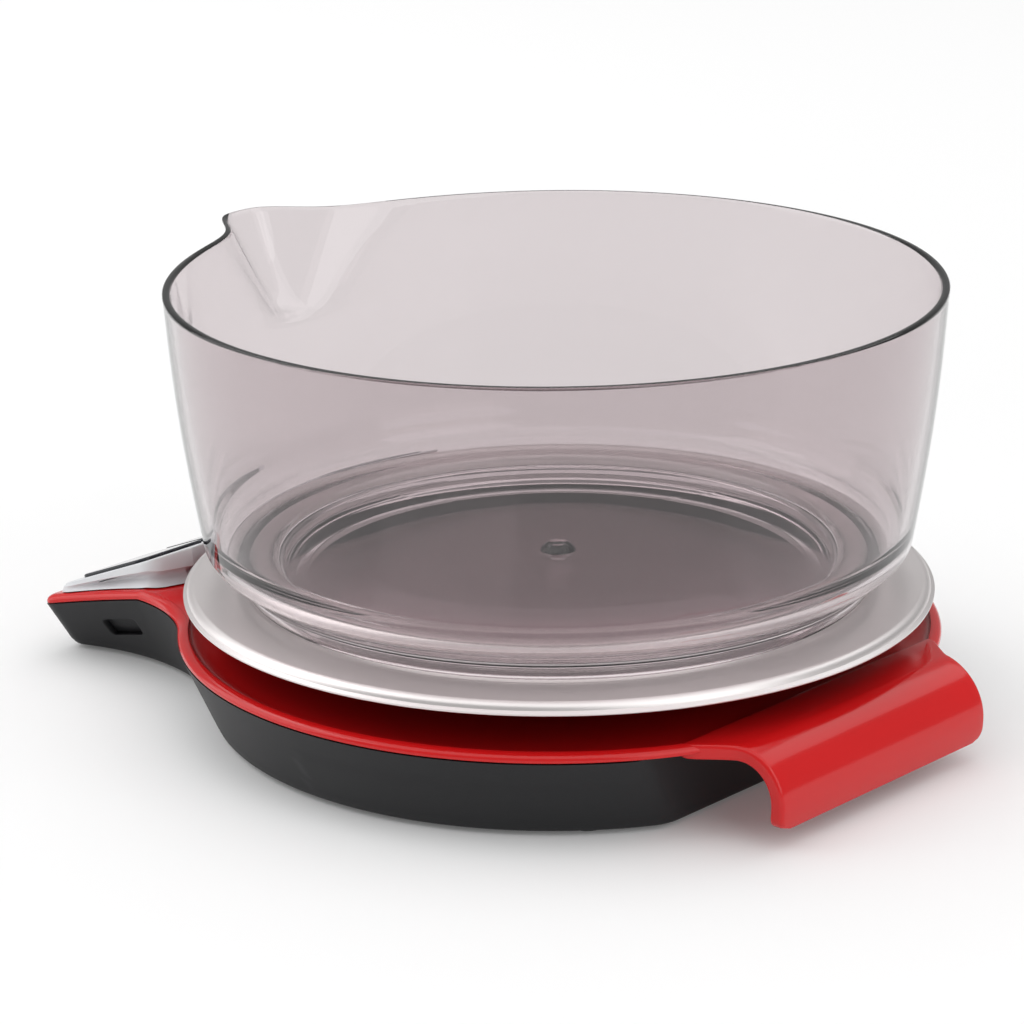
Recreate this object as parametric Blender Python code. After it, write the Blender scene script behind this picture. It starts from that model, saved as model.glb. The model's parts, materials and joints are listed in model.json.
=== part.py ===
"""Digital kitchen scale with a lift-off mixing bowl, a tilted console and a curled handle.

Metres, +Z up. The console, at the user's side, points towards -Y and the handle towards +Y.
The origin lies on the table, under the middle of the scale's length. Most pieces are made in the
platform's frame, whose axis is the round platform's, and hang on the empty platform_frame.
"""

import math

import bmesh
import bpy
import numpy as np
from mathutils import Matrix, Vector

MM = 0.001

# Heights that through cuts run between
CUT_LOW = -20 * MM
CUT_HIGH = 60 * MM

# Clearances
GAP = 0.3 * MM  # between two pieces that touch or fit together
PLATFORM_TRAVEL = 0.25 * MM
KEY_TRAVEL = 0.6 * MM

# Housing, seen from above
BODY_RADIUS = 96.8 * MM
CONSOLE_LENGTH = 32.4 * MM  # how far the console stands out from the round body
CONSOLE_REACH = BODY_RADIUS + CONSOLE_LENGTH
WAIST_HALF = 58.5 * MM
TIP_HALF = WAIST_HALF + 4.0 * MM
CONSOLE_FILLET = 40 * MM
CONSOLE_CORNER = 9 * MM
PAN_FLAT_REACH = BODY_RADIUS - 18.8 * MM
PAN_CORNER = 12 * MM

# Housing heights above the table
PAN_BOTTOM = 1.0 * MM
SEAM = 21.6 * MM
SEAM_SLOPE = 0.228  # fall of the seam for each unit of the way to the console's front
BAND_HEIGHT = 2.4 * MM
LIP_WIDTH = 2.6 * MM

# Base pan
PAN_WALL = 2.2 * MM
PAN_FLOOR = 2.2 * MM
PAN_DRAFT = 9.0 * MM  # how far the wall leans in from the seam to the bottom
PAN_FLAT_DRAFT = 2.5 * MM
TIP_DRAFT_SIDE = 12.5 * MM
TIP_DRAFT_FRONT = 0.4 * MM
BOTTOM_FILLET = 62 * MM
BOTTOM_CHAMFER = 1.2 * MM

# Top shell
SHELL = 1.8 * MM
DISH_RADIUS = BODY_RADIUS - 2.8 * MM
DISH_DEPTH = 2.6 * MM
DISH_SLOPE_WIDTH = 6 * MM
WINDOW_BORDER = 6 * MM
WINDOW_REAR = BODY_RADIUS + 5.2 * MM

# Handle
HANDLE_REACH = BODY_RADIUS + 8.0 * MM
HANDLE_CURL = 13 * MM
HANDLE_DROP = 5.8 * MM
HANDLE_ROOT_HALF = 47.5 * MM
HANDLE_END_HALF = HANDLE_ROOT_HALF - 8.0 * MM
HANDLE_SHEET = 2.0 * MM
HANDLE_FLANGE = 3.6 * MM
HANDLE_FLANGE_WIDTH = 1.8 * MM

# Platform
PLATE_RADIUS = BODY_RADIUS - 1.8 * MM
PLATE_TOP = SEAM + 14.0 * MM
SKIRT_HEIGHT = 2.8 * MM
SHEET = 0.8 * MM
EDGE_BEND = 3.5 * MM
CARRIER_RADIUS = PLATE_RADIUS - 5.0 * MM
CARRIER_THICKNESS = 1.9 * MM
RIB_DEPTH = 5.5 * MM
RIB_WIDTH = 2.0 * MM
HUB_LENGTH = 24 * MM
HUB_WIDTH = 18 * MM
HUB_CLEARANCE = 1.0 * MM

# Load cell
CELL_LENGTH = 70 * MM
CELL_WIDTH = 12.7 * MM
CELL_HEIGHT = 8.0 * MM
CELL_SCREW_SPACING = 10 * MM
CELL_SCREW_INSET = 6 * MM
CELL_BOSS_HEIGHT = 4.9 * MM
SHIM = 1.2 * MM
BEAM_HOLE_RADIUS = 2.9 * MM

# Fasteners
M3_SHANK = 1.5 * MM
M3_HEAD = 2.8 * MM
M3_HEAD_HEIGHT = 1.5 * MM
HOUSING_SCREW_X = 64 * MM
HOUSING_SCREW_Y = 38 * MM
HOUSING_BOSS = 4.5 * MM
SLEEVE_TOP = 9.7 * MM
BOARD_SHANK = 0.8 * MM
BOARD_HEAD = 1.7 * MM
BOARD_HEAD_HEIGHT = 1.2 * MM

# Feet
FOOT_RADIUS = 5.5 * MM
FOOT_POCKET = 0.6 * MM
FOOT_REAR = (BODY_RADIUS * 0.565, BODY_RADIUS * 0.6)
FOOT_CONSOLE = (WAIST_HALF - 16.0 * MM, 13.2 * MM - CONSOLE_REACH)

# Console
DISPLAY_TILT = math.radians(22)
DISPLAY_FRONT_HEIGHT = SEAM - 4.0 * MM  # the display plane over the console's front edge
CONSOLE_MIDDLE = (BODY_RADIUS + CONSOLE_REACH) / 2 - 3.0 * MM
BEZEL_BORDER = 2.8 * MM
BEZEL_ARC = BODY_RADIUS + 2.0 * MM
BEZEL_HORN = WAIST_HALF - 15.5 * MM
BEZEL_REAR_CORNER = 7 * MM
BEZEL_REAR_REACH = BODY_RADIUS + 1.2 * MM
BEZEL_TOP = 3.6 * MM
PROUD = 0.9 * MM
LENS_HALF = 26.5 * MM
LENS_THICKNESS = 1.7 * MM
LENS_REACH = (BODY_RADIUS + 1.7 * MM, CONSOLE_REACH - 9.2 * MM)
KEY_INNER = 30.5 * MM
KEY_OUTER = (WAIST_HALF - 5.5 * MM, WAIST_HALF - 2.5 * MM)
KEY_REACH = (BODY_RADIUS + 1.7 * MM, CONSOLE_REACH - 8.7 * MM)
KEY_THICKNESS = 2.2 * MM
KEY_CORNER = 3.0 * MM
STEM_HALF = 3.0 * MM
STEM_BOTTOM = 4.2 * MM
SWITCH_X = (KEY_INNER + KEY_OUTER[0]) / 2
SWITCH_SLOPE = -3.5 * MM
SWITCH_SIZE = 6.0 * MM
SWITCH_BODY = 2.6 * MM
LCD_HALF = 25 * MM
LCD_SLOPE = (-10.6 * MM, 3.0 * MM)
LCD_THICKNESS = 2.6 * MM
LCD_FRAME_WALL = 1.2 * MM
STRIP_HEIGHT = 1.4 * MM
STRIP_WIDTH = 2.0 * MM
BOARD_THICKNESS = 1.6 * MM
BOARD_HALF = WAIST_HALF - 11.5 * MM
BOARD_SLOPE = (-16.0 * MM, 3.4 * MM)
BOARD_SCREW = (28.6 * MM, -5.0 * MM)
BOARD_BOSS = 2.1 * MM

# Charging socket
PORT_REACH = CONSOLE_MIDDLE - 4.5 * MM
PORT_HEIGHT = SEAM / 2
PORT_WIDTH = 12.9 * MM
PORT_OPENING = 5.0 * MM
SOCKET_WIDTH = 8.9 * MM
SOCKET_HEIGHT = 3.2 * MM
SOCKET_LENGTH = 7.3 * MM
SOCKET_SHELL = 0.4 * MM
SOCKET_MOUTH = WAIST_HALF - 7.5 * MM
CHARGE_BOARD = (17 * MM, 15 * MM, 1.2 * MM)

# Battery
BATTERY = (36 * MM, 44 * MM, 5.5 * MM)
BATTERY_PLACE = (-34 * MM, -52 * MM)
BATTERY_PAD = 0.8 * MM

# Bowl
BOWL_WALL = 2.8 * MM
BOWL_RIM_RADIUS = BODY_RADIUS + 0.2 * MM
BOWL_RIM = PLATE_TOP + 76.3 * MM
BOWL_CORNER_RADIUS = BOWL_RIM_RADIUS - 7.6 * MM
BOWL_CORNER = PLATE_TOP + 12.8 * MM
BOWL_FOOT_RADIUS = BOWL_RIM_RADIUS - 17.6 * MM
BOWL_FOOT_WIDTH = 3.0 * MM
BOWL_FLOOR = PLATE_TOP + 5.6 * MM
BOWL_BULGE = 1.0 * MM
SPOUT_REACH = 17.5 * MM
SPOUT_DEPTH = 28 * MM
SPOUT_HALF_ANGLE = 17.5  # degrees, at the rim
SPOUT_FOOT_ANGLE = 6.0  # degrees, just above its foot

# Worked out
FLOOR_TOP = PAN_BOTTOM + PAN_FLOOR
LIP_TOP = SEAM + BAND_HEIGHT
DISH_FLOOR = LIP_TOP - DISH_DEPTH
SKIRT_BOTTOM = PLATE_TOP - SKIRT_HEIGHT
CARRIER_TOP = PLATE_TOP - SHEET - GAP
SEAM_BREAK = math.sqrt((BODY_RADIUS + CONSOLE_FILLET) ** 2 - (WAIST_HALF + CONSOLE_FILLET) ** 2)
PLATFORM_Y = (CONSOLE_REACH - HANDLE_REACH) / 2
CELL_BOTTOM = CELL_BOSS_HEIGHT + GAP + SHIM + GAP
CELL_TOP = CELL_BOTTOM + CELL_HEIGHT
HUB_BOTTOM = CELL_TOP + GAP + SHIM + GAP
CELL_SCREW_OUTER = CELL_LENGTH / 2 - CELL_SCREW_INSET
CELL_SCREWS = (CELL_SCREW_OUTER, CELL_SCREW_OUTER - CELL_SCREW_SPACING)
CELL_SEAT_Y = sum(CELL_SCREWS) / 2
LCD_TOP = BEZEL_TOP + GAP
STRIP_TOP = LCD_TOP + LCD_THICKNESS + GAP
BOARD_TOP = STRIP_TOP + STRIP_HEIGHT + GAP
SOCKET_SLOPE = math.atan(SEAM_SLOPE)

MATERIALS = {
    "red_gloss_plastic": ((0.62, 0.012, 0.012), 0.18, 0.0),
    "black_matte_plastic": ((0.030, 0.030, 0.032), 0.55, 0.0),
    "grey_satin_plastic": ((0.55, 0.56, 0.57), 0.35, 0.0),
    "dark_gloss_plastic": ((0.020, 0.022, 0.030), 0.08, 0.0),
    "brushed_steel": ((0.62, 0.58, 0.56), 0.30, 1.0),
    "smoke_clear_plastic": ((0.36, 0.31, 0.32), 0.05, 0.0),
    "white_plastic": ((0.80, 0.80, 0.78), 0.45, 0.0),
    "rubber": ((0.020, 0.020, 0.020), 0.80, 0.0),
    "aluminium": ((0.75, 0.76, 0.77), 0.35, 1.0),
    "zinc_steel": ((0.60, 0.61, 0.63), 0.30, 1.0),
    "circuit_board": ((0.02, 0.16, 0.07), 0.50, 0.0),
    "lcd_glass": ((0.30, 0.36, 0.30), 0.12, 0.0),
    "battery_foil": ((0.55, 0.57, 0.60), 0.35, 1.0),
    "wire_jacket": ((0.10, 0.10, 0.11), 0.60, 0.0),
}


def clear_scene():
    """Empties the scene of every object."""
    for obj in list(bpy.data.objects):
        bpy.data.objects.remove(obj, do_unlink=True)


def material(slot):
    """The named material, made on first use."""
    found = bpy.data.materials.get(slot)
    if found:
        return found
    colour, roughness, metallic = MATERIALS[slot]
    made = bpy.data.materials.new(slot)
    made.use_nodes = True
    shader = made.node_tree.nodes["Principled BSDF"]
    shader.inputs["Base Color"].default_value = (*colour, 1.0)
    shader.inputs["Roughness"].default_value = roughness
    shader.inputs["Metallic"].default_value = metallic
    return made


def empty(name, location, tilt=0.0, parent=None):
    """A frame that pieces hang on, turned about X by tilt."""
    frame = bpy.data.objects.new(name, None)
    frame.location = location
    frame.rotation_euler = (tilt, 0.0, 0.0)
    frame.parent = parent
    bpy.context.scene.collection.objects.link(frame)
    return frame


def mix(low, high, share):
    return low + (high - low) * share


def arc(centre, radius, start, end, count):
    """Points of an arc from angle start to angle end, in degrees, both ends included."""
    angles = np.radians(np.linspace(start, end, count + 1))
    return [(centre[0] + radius * math.cos(a), centre[1] + radius * math.sin(a)) for a in angles]


def mirrored(half):
    """Closes a right-hand half outline, from x = 0 to x = 0, with its mirror image."""
    return half + [(-x, y) for x, y in reversed(half[1:-1])]


def level(points, height):
    """Places an outline at a height: a number, or a function of the outline's y."""
    return [(x, y, height(y) if callable(height) else height) for x, y in points]


def loft_mesh(name, rings):
    """Closed solid through rings of equal length, with a face over the first and the last."""
    shape = bmesh.new()
    loops = [[shape.verts.new(point) for point in ring] for ring in rings]
    for lower, upper in zip(loops, loops[1:]):
        for i in range(len(lower)):
            j = (i + 1) % len(lower)
            shape.faces.new((lower[i], lower[j], upper[j], upper[i]))
    shape.faces.new(loops[0])
    shape.faces.new(loops[-1])
    bmesh.ops.recalc_face_normals(shape, faces=shape.faces)
    mesh = bpy.data.meshes.new(name)
    shape.to_mesh(mesh)
    shape.free()
    return mesh


def piece(name, rings, slot, frame, smooth=True):
    """A named sub-part lofted through rings, with its material, hung on a frame."""
    mesh = loft_mesh(name, rings)
    mesh.materials.append(material(slot))
    if smooth:
        mesh.shade_smooth()
        mesh.set_sharp_from_angle(angle=math.radians(30))
    obj = bpy.data.objects.new(name, mesh)
    obj.parent = frame
    bpy.context.scene.collection.objects.link(obj)
    return obj


def helper(name, rings, frame):
    """A solid that only cuts or adds to others, so it isn't a sub-part itself."""
    obj = bpy.data.objects.new(name, loft_mesh(name, rings))
    obj.parent = frame
    obj.hide_render = True
    obj.display_type = "WIRE"
    bpy.context.scene.collection.objects.link(obj)
    obj.hide_viewport = True
    return obj


def combine(obj, operation, *others):
    """Adds ("UNION") or cuts ("DIFFERENCE") other solids, one Boolean modifier for each."""
    for other in others:
        modifier = obj.modifiers.new(other.name, "BOOLEAN")
        modifier.operation = operation
        modifier.object = other
        modifier.solver = "EXACT"


def circle(radius, height, centre=(0.0, 0.0), count=24):
    half_step = 180 / count
    return level(arc(centre, radius, half_step, 360 + half_step, count)[:-1], height)


def turned(profile, centre=(0.0, 0.0), count=24):
    """Rings of a turned shape from its profile of (radius, height) points."""
    return [circle(radius, height, centre, count) for radius, height in profile]


def box(x, y, z):
    """Rings of a box from its low and high x, y and z."""
    corners = [(x[0], y[0]), (x[1], y[0]), (x[1], y[1]), (x[0], y[1])]
    return [level(corners, z[0]), level(corners, z[1])]


def rounded(corners, radius, count=4):
    """Rounds the corners of a convex outline given anticlockwise."""
    points = []
    for i, corner in enumerate(corners):
        here = Vector(corner)
        before = (Vector(corners[i - 1]) - here).normalized()
        after = (Vector(corners[(i + 1) % len(corners)]) - here).normalized()
        half = math.acos(before.dot(after)) / 2
        middle = here + (before + after).normalized() * (radius / math.sin(half))
        first = here + before * (radius / math.tan(half)) - middle
        last = here + after * (radius / math.tan(half)) - middle
        sweep = math.atan2(first.x * last.y - first.y * last.x, first.dot(last))
        start = math.degrees(math.atan2(first.y, first.x))
        points += arc(middle, radius, start, start + math.degrees(sweep), count)
    return points


def profile_bar(points, half):
    """Rings of a bar along X from its outline of (y, z) points."""
    return [[(x, y, z) for y, z in points] for x in (-half, half)]


def bake(obj):
    """Turns an object's modifiers into its own mesh, so that its points can be moved."""
    graph = bpy.context.evaluated_depsgraph_get()
    obj.data = bpy.data.meshes.new_from_object(obj.evaluated_get(graph))
    obj.modifiers.clear()


# Outlines of the housing


def seam_height(y):
    """Height of the seam: level round the body, falling along the console."""
    return SEAM - SEAM_SLOPE * max(0.0, -y - SEAM_BREAK)


def band_top(y):
    return seam_height(y) + BAND_HEIGHT


def console_edge(waist_half, tip_half, tip_reach, waist_reach, corner):
    """Right-hand edge of the console, from its waist to the middle of its front: a hollow arc
    that flares outwards, the front corner's arc, tangent to it, and half of the straight front."""
    flare = tip_half - waist_half
    length = tip_reach - corner - waist_reach
    radius = ((corner - flare) ** 2 + length**2 - corner**2) / (2 * flare)
    lean = math.degrees(math.asin(length / (radius + corner)))
    side = arc((waist_half + radius, -waist_reach), radius, 180, 180 + lean, 4)
    front = arc((tip_half - corner, -(tip_reach - corner)), corner, lean, -90, 5)
    return side + front[1:] + [(0.0, -tip_reach)]


def body_edge(radius, waist_half, tip_half, tip_reach, fillet, corner, flat=None):
    """Right half of the housing's outline, from the handle's side to the console's front: the
    round body, cut flat towards the handle where flat is given, the hollow fillet that turns
    into the console, and the console's edge."""
    waist_reach = math.sqrt((radius + fillet) ** 2 - (waist_half + fillet) ** 2)
    turn = math.degrees(math.atan2(-waist_reach, waist_half + fillet))
    start, head = 90.0, []
    if flat is not None:
        flat_x = math.sqrt((radius - PAN_CORNER) ** 2 - (flat - PAN_CORNER) ** 2)
        start = math.degrees(math.atan2(flat - PAN_CORNER, flat_x))
        head = [(0.0, flat)] + arc((flat_x, flat - PAN_CORNER), PAN_CORNER, 90, start, 4)[:-1]
    body = arc((0.0, 0.0), radius, start, turn, 20)
    hollow = arc((waist_half + fillet, -waist_reach), fillet, 180 + turn, 180, 6)
    edge = console_edge(waist_half, tip_half, tip_reach, waist_reach, corner)
    return head + body + hollow[1:] + edge[1:]


def pan_outline(share, inset):
    """The pan's outline at a share of its height, moved inwards by inset."""
    lean = 1.0 - share
    return mirrored(
        body_edge(
            BODY_RADIUS - PAN_DRAFT * lean - inset,
            WAIST_HALF - (PAN_DRAFT + GAP) * lean - inset,
            TIP_HALF - TIP_DRAFT_SIDE * lean - inset,
            CONSOLE_REACH - TIP_DRAFT_FRONT * lean - inset,
            mix(BOTTOM_FILLET, CONSOLE_FILLET, share) + inset,
            CONSOLE_CORNER - inset,
            PAN_FLAT_REACH - PAN_FLAT_DRAFT * lean - inset,
        )
    )


def pan_ring(share, inset, height=None):
    def slanted(y):
        return mix(PAN_BOTTOM, seam_height(y), share)

    return level(pan_outline(share, inset), slanted if height is None else height)


def lid_outline(inset):
    """The top shell's outline, moved inwards by inset."""
    return mirrored(
        body_edge(
            BODY_RADIUS - inset,
            WAIST_HALF - inset,
            TIP_HALF - inset,
            CONSOLE_REACH - inset,
            CONSOLE_FILLET + inset,
            CONSOLE_CORNER - inset,
        )
    )


def bezel_outline():
    """The bezel's outline: it clears the platform on an arc, reaches round it with a horn at each
    side, and turns its rear corners into the console's edge."""
    horn = math.degrees(math.acos(BEZEL_HORN / BEZEL_ARC))
    rear = arc((0.0, 0.0), BEZEL_ARC, -90, -horn, 6)
    side_x = WAIST_HALF - BEZEL_BORDER
    corner_centre = (side_x - BEZEL_REAR_CORNER, -BEZEL_REAR_REACH)
    corner = arc(corner_centre, BEZEL_REAR_CORNER, 72, 0, 4)
    edge = console_edge(
        side_x,
        TIP_HALF - BEZEL_BORDER,
        CONSOLE_REACH - BEZEL_BORDER,
        BEZEL_REAR_REACH,
        CONSOLE_CORNER - BEZEL_BORDER,
    )
    return mirrored(rear + corner + edge[1:])


def window_outline():
    """The opening in the top shell under the bezel."""
    edge = console_edge(
        WAIST_HALF - WINDOW_BORDER,
        TIP_HALF - WINDOW_BORDER,
        CONSOLE_REACH - WINDOW_BORDER,
        WINDOW_REAR,
        CONSOLE_CORNER - WINDOW_BORDER,
    )
    return mirrored([(0.0, -WINDOW_REAR)] + edge)


def display_height(reach):
    """Height of the display plane above the table at a distance from the platform's axis."""
    return DISPLAY_FRONT_HEIGHT + math.tan(DISPLAY_TILT) * (CONSOLE_REACH - reach)


def on_slope(reach):
    """Place along the display's slope of a point of its plane at a distance from the axis."""
    return (CONSOLE_MIDDLE - reach) / math.cos(DISPLAY_TILT)


# Base


def cylinder(name, centre, radius, low, high, frame, count=24):
    return helper(name, turned([(radius, low), (radius, high)], centre, count), frame)


def block(name, x, y, z, frame):
    return helper(name, box(x, y, z), frame)


def housing_screw_spots():
    return [(sx * HOUSING_SCREW_X, sy * HOUSING_SCREW_Y) for sx in (1, -1) for sy in (1, -1)]


def foot_spots():
    return [(side * x, y) for x, y in (FOOT_REAR, FOOT_CONSOLE) for side in (1, -1)]


def dish_profile(extra):
    """Profile of the tray's underside, grown by extra, from its flat bottom outwards."""
    bottom = DISH_FLOOR - SHELL - extra
    return [
        (DISH_RADIUS - DISH_SLOPE_WIDTH + extra, bottom),
        (DISH_RADIUS - SHELL + extra, LIP_TOP - SHELL - extra),
        (DISH_RADIUS - SHELL + extra, LIP_TOP - SHELL / 2),
    ]


def make_base_pan(frame, port_frame):
    share = PAN_FLOOR / (SEAM - PAN_BOTTOM)
    rings = [
        pan_ring(share, PAN_WALL, FLOOR_TOP),
        pan_ring(1.0, PAN_WALL),
        pan_ring(1.0, 0.0),
        pan_ring(share / 2, 0.0),
        pan_ring(0.0, BOTTOM_CHAMFER),
    ]
    pan = piece("base_pan", rings, "black_matte_plastic", frame)
    root = PAN_BOTTOM + PAN_FLOOR / 2
    for i, spot in enumerate(housing_screw_spots(), 1):
        combine(pan, "UNION", cylinder(f"sleeve_{i}", spot, HOUSING_BOSS, root, SLEEVE_TOP, frame))
    half_seat = HUB_LENGTH / 2
    boss_width = CELL_WIDTH / 2 + PAN_WALL
    for name, y in (("cell_boss", -CELL_SEAT_Y), ("stop_boss", CELL_SEAT_Y)):
        low, high = (-boss_width, y - half_seat, root), (boss_width, y + half_seat, CELL_BOSS_HEIGHT)
        combine(pan, "UNION", block(name, *zip(low, high), frame))
    combine(pan, "UNION", make_charge_ledge(port_frame))
    for i, spot in enumerate(housing_screw_spots(), 1):
        seat = FLOOR_TOP + PAN_FLOOR / 2
        bore = M3_SHANK + GAP
        combine(pan, "DIFFERENCE", cylinder(f"sleeve_bore_{i}", spot, bore, CUT_LOW, CUT_HIGH, frame, 16))
        recess = cylinder(f"sleeve_recess_{i}", spot, M3_HEAD + GAP, 0.0, seat, frame)
        combine(pan, "DIFFERENCE", recess)
    for i, y in enumerate(CELL_SCREWS, 1):
        bore = M3_SHANK + GAP
        spot = (0.0, -y)
        combine(pan, "DIFFERENCE", cylinder(f"cell_bore_{i}", spot, bore, CUT_LOW, CUT_HIGH, frame, 16))
        recess = cylinder(f"cell_recess_{i}", spot, M3_HEAD + GAP, 0.0, FLOOR_TOP, frame)
        combine(pan, "DIFFERENCE", recess)
    spot = (0.0, CELL_SEAT_Y)
    combine(pan, "DIFFERENCE", cylinder("stop_bore", spot, M3_SHANK + GAP, CUT_LOW, CUT_HIGH, frame, 16))
    for i, spot in enumerate(foot_spots(), 1):
        roof = PAN_BOTTOM + FOOT_POCKET
        pocket = cylinder(f"foot_pocket_{i}", spot, FOOT_RADIUS + GAP, 0.0, roof, frame)
        combine(pan, "DIFFERENCE", pocket)
    clearance = helper("tray_clearance", turned(dish_profile(GAP), count=64), frame)
    combine(pan, "DIFFERENCE", clearance)
    port = rounded(
        [
            (-PORT_WIDTH / 2, -PORT_OPENING / 2),
            (PORT_WIDTH / 2, -PORT_OPENING / 2),
            (PORT_WIDTH / 2, PORT_OPENING / 2),
            (-PORT_WIDTH / 2, PORT_OPENING / 2),
        ],
        1.0 * MM,
        3,
    )
    reach = (-2 * PAN_WALL, 6 * PAN_WALL)
    cut = helper("port_cut", [[(x, y, z) for y, z in port] for x in reach], port_frame)
    combine(pan, "DIFFERENCE", cut)
    return pan


def make_charge_ledge(port_frame):
    """The post on the pan's floor that carries the charge board's inner end."""
    length, width, thickness = CHARGE_BOARD
    top = -SOCKET_HEIGHT / 2 - GAP - thickness - GAP
    x = (-SOCKET_LENGTH - length / 2, -SOCKET_LENGTH - length / 4)
    bottom = -(PORT_HEIGHT - PAN_BOTTOM - PAN_FLOOR / 2)
    return block("charge_ledge", x, (-width / 4, width / 4), (bottom, top), port_frame)


def make_feet(frame):
    top = PAN_BOTTOM + FOOT_POCKET - GAP
    edge = 0.5 * MM
    profile = [
        (FOOT_RADIUS - edge, 0.0),
        (FOOT_RADIUS, edge),
        (FOOT_RADIUS, top),
    ]
    names = ("foot_rear_right", "foot_rear_left", "foot_console_right", "foot_console_left")
    for name, spot in zip(names, foot_spots()):
        foot = piece(name, turned(profile), "rubber", frame)
        foot.location = (*spot, 0.0)


def screw_rings(shank, head, head_height, tip, count=16):
    """A pan-head screw standing on its head's bearing face, shank upwards to tip."""
    return turned(
        [(head * 0.8, -head_height), (head, -head_height * 0.6), (head, 0.0), (shank, 0.0), (shank, tip)],
        count=count,
    )


def make_housing_screws(frame):
    seat = FLOOR_TOP + PAN_FLOOR / 2 - GAP
    tip = SLEEVE_TOP + 5 * MM
    rings = screw_rings(M3_SHANK, M3_HEAD, M3_HEAD_HEIGHT, tip - seat)
    for i, spot in enumerate(housing_screw_spots(), 1):
        screw = piece(f"housing_screw_{i}", rings, "zinc_steel", frame)
        screw.location = (*spot, seat)


# Top shell


def handle_path():
    """The handle's outer line as (y, z, inward normal) points: level, then a quarter turn
    downwards, then straight down with its edge drawn in a little."""
    level_end = HANDLE_REACH - HANDLE_CURL
    start = PAN_FLAT_REACH + 2 * MM
    points = [(y, LIP_TOP, (0.0, -1.0)) for y in np.linspace(start, level_end, 7)]
    centre = (level_end, LIP_TOP - HANDLE_CURL)
    for y, z in arc(centre, HANDLE_CURL, 90, 0, 7)[1:]:
        normal = ((centre[0] - y) / HANDLE_CURL, (centre[1] - z) / HANDLE_CURL)
        points.append((y, z, normal))
    low = LIP_TOP - HANDLE_CURL - HANDLE_DROP
    points.append((HANDLE_REACH - 0.2 * MM, low + 1.5 * MM, (-1.0, 0.0)))
    points.append((HANDLE_REACH - 0.6 * MM, low, (-1.0, 0.0)))
    return points


def handle_rings():
    """C-shaped sections along the handle's path: the sheet with a flange down each edge. The
    width falls from the root to the end, fast at first, as (1 - s)^5 of the way s."""
    path = handle_path()
    places = np.array([(y, z) for y, z, _ in path])
    way = np.concatenate([[0.0], np.cumsum(np.linalg.norm(np.diff(places, axis=0), axis=1))])
    root = math.sqrt(BODY_RADIUS**2 - HANDLE_ROOT_HALF**2) - places[0, 0]
    share = np.clip((way - root) / (way[-1] - root), 0.0, 1.0)
    halves = HANDLE_END_HALF + (HANDLE_ROOT_HALF - HANDLE_END_HALF) * (1.0 - share) ** 5
    halves[-1] -= 1.5 * MM
    rings = []
    for (y, z, normal), half in zip(path, halves):
        inner = half - HANDLE_FLANGE_WIDTH
        section = [(-half, 0.0), (half, 0.0), (half, HANDLE_FLANGE), (inner, HANDLE_FLANGE)]
        section += [(inner, HANDLE_SHEET), (-inner, HANDLE_SHEET)]
        section += [(-inner, HANDLE_FLANGE), (-half, HANDLE_FLANGE)]
        rings.append([(x, y + normal[0] * d, z + normal[1] * d) for x, d in section])
    return rings


def lower_console(obj):
    """Bends the flat lid down along the console, to follow the seam."""
    shape = bmesh.new()
    shape.from_mesh(obj.data)
    everything = shape.verts[:] + shape.edges[:] + shape.faces[:]
    bmesh.ops.bisect_plane(
        shape, geom=everything, dist=1e-7, plane_co=(0.0, -SEAM_BREAK, 0.0), plane_no=(0.0, 1.0, 0.0)
    )
    for vertex in shape.verts:
        vertex.co.z += seam_height(vertex.co.y) - SEAM
    shape.to_mesh(obj.data)
    shape.free()


def make_top_shell(frame):
    bottom = SEAM + GAP
    rings = [
        level(lid_outline(0.0), bottom),
        level(lid_outline(0.0), bottom + BAND_HEIGHT * 0.25),
        level(lid_outline(LIP_WIDTH * 0.3), LIP_TOP - BAND_HEIGHT * 0.25),
        level(lid_outline(LIP_WIDTH), LIP_TOP),
    ]
    shell = piece("top_shell", rings, "red_gloss_plastic", frame)
    combine(shell, "UNION", helper("tray_body", turned(dish_profile(0.0), count=64), frame))
    combine(shell, "UNION", helper("handle_body", handle_rings(), frame))
    boss_bottom = SLEEVE_TOP + GAP
    for i, spot in enumerate(housing_screw_spots(), 1):
        boss = cylinder(f"boss_{i}", spot, HOUSING_BOSS, boss_bottom, DISH_FLOOR - SHELL / 2, frame)
        combine(shell, "UNION", boss)
    dish = [
        (DISH_RADIUS - DISH_SLOPE_WIDTH, DISH_FLOOR),
        (DISH_RADIUS - SHELL / 2, LIP_TOP - DISH_DEPTH * 0.4),
        (DISH_RADIUS, LIP_TOP + GAP),
    ]
    combine(shell, "DIFFERENCE", helper("dish_cut", turned(dish, count=64), frame))
    for i, spot in enumerate(housing_screw_spots(), 1):
        roof = DISH_FLOOR - SHELL - GAP
        bore = cylinder(f"boss_bore_{i}", spot, M3_SHANK + GAP, 0.0, roof, frame, 16)
        combine(shell, "DIFFERENCE", bore)
    x = HUB_WIDTH / 2 + HUB_CLEARANCE
    y = HUB_LENGTH / 2 + HUB_CLEARANCE
    hub = block("hub_opening", (-x, x), (CELL_SEAT_Y - y, CELL_SEAT_Y + y), (SLEEVE_TOP, LIP_TOP), frame)
    combine(shell, "DIFFERENCE", hub)
    heights = (bottom - BAND_HEIGHT, LIP_TOP + BAND_HEIGHT)
    window = helper("console_window", [level(window_outline(), z) for z in heights], frame)
    combine(shell, "DIFFERENCE", window)
    bake(shell)
    lower_console(shell)
    return shell


# Load cell and platform


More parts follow.
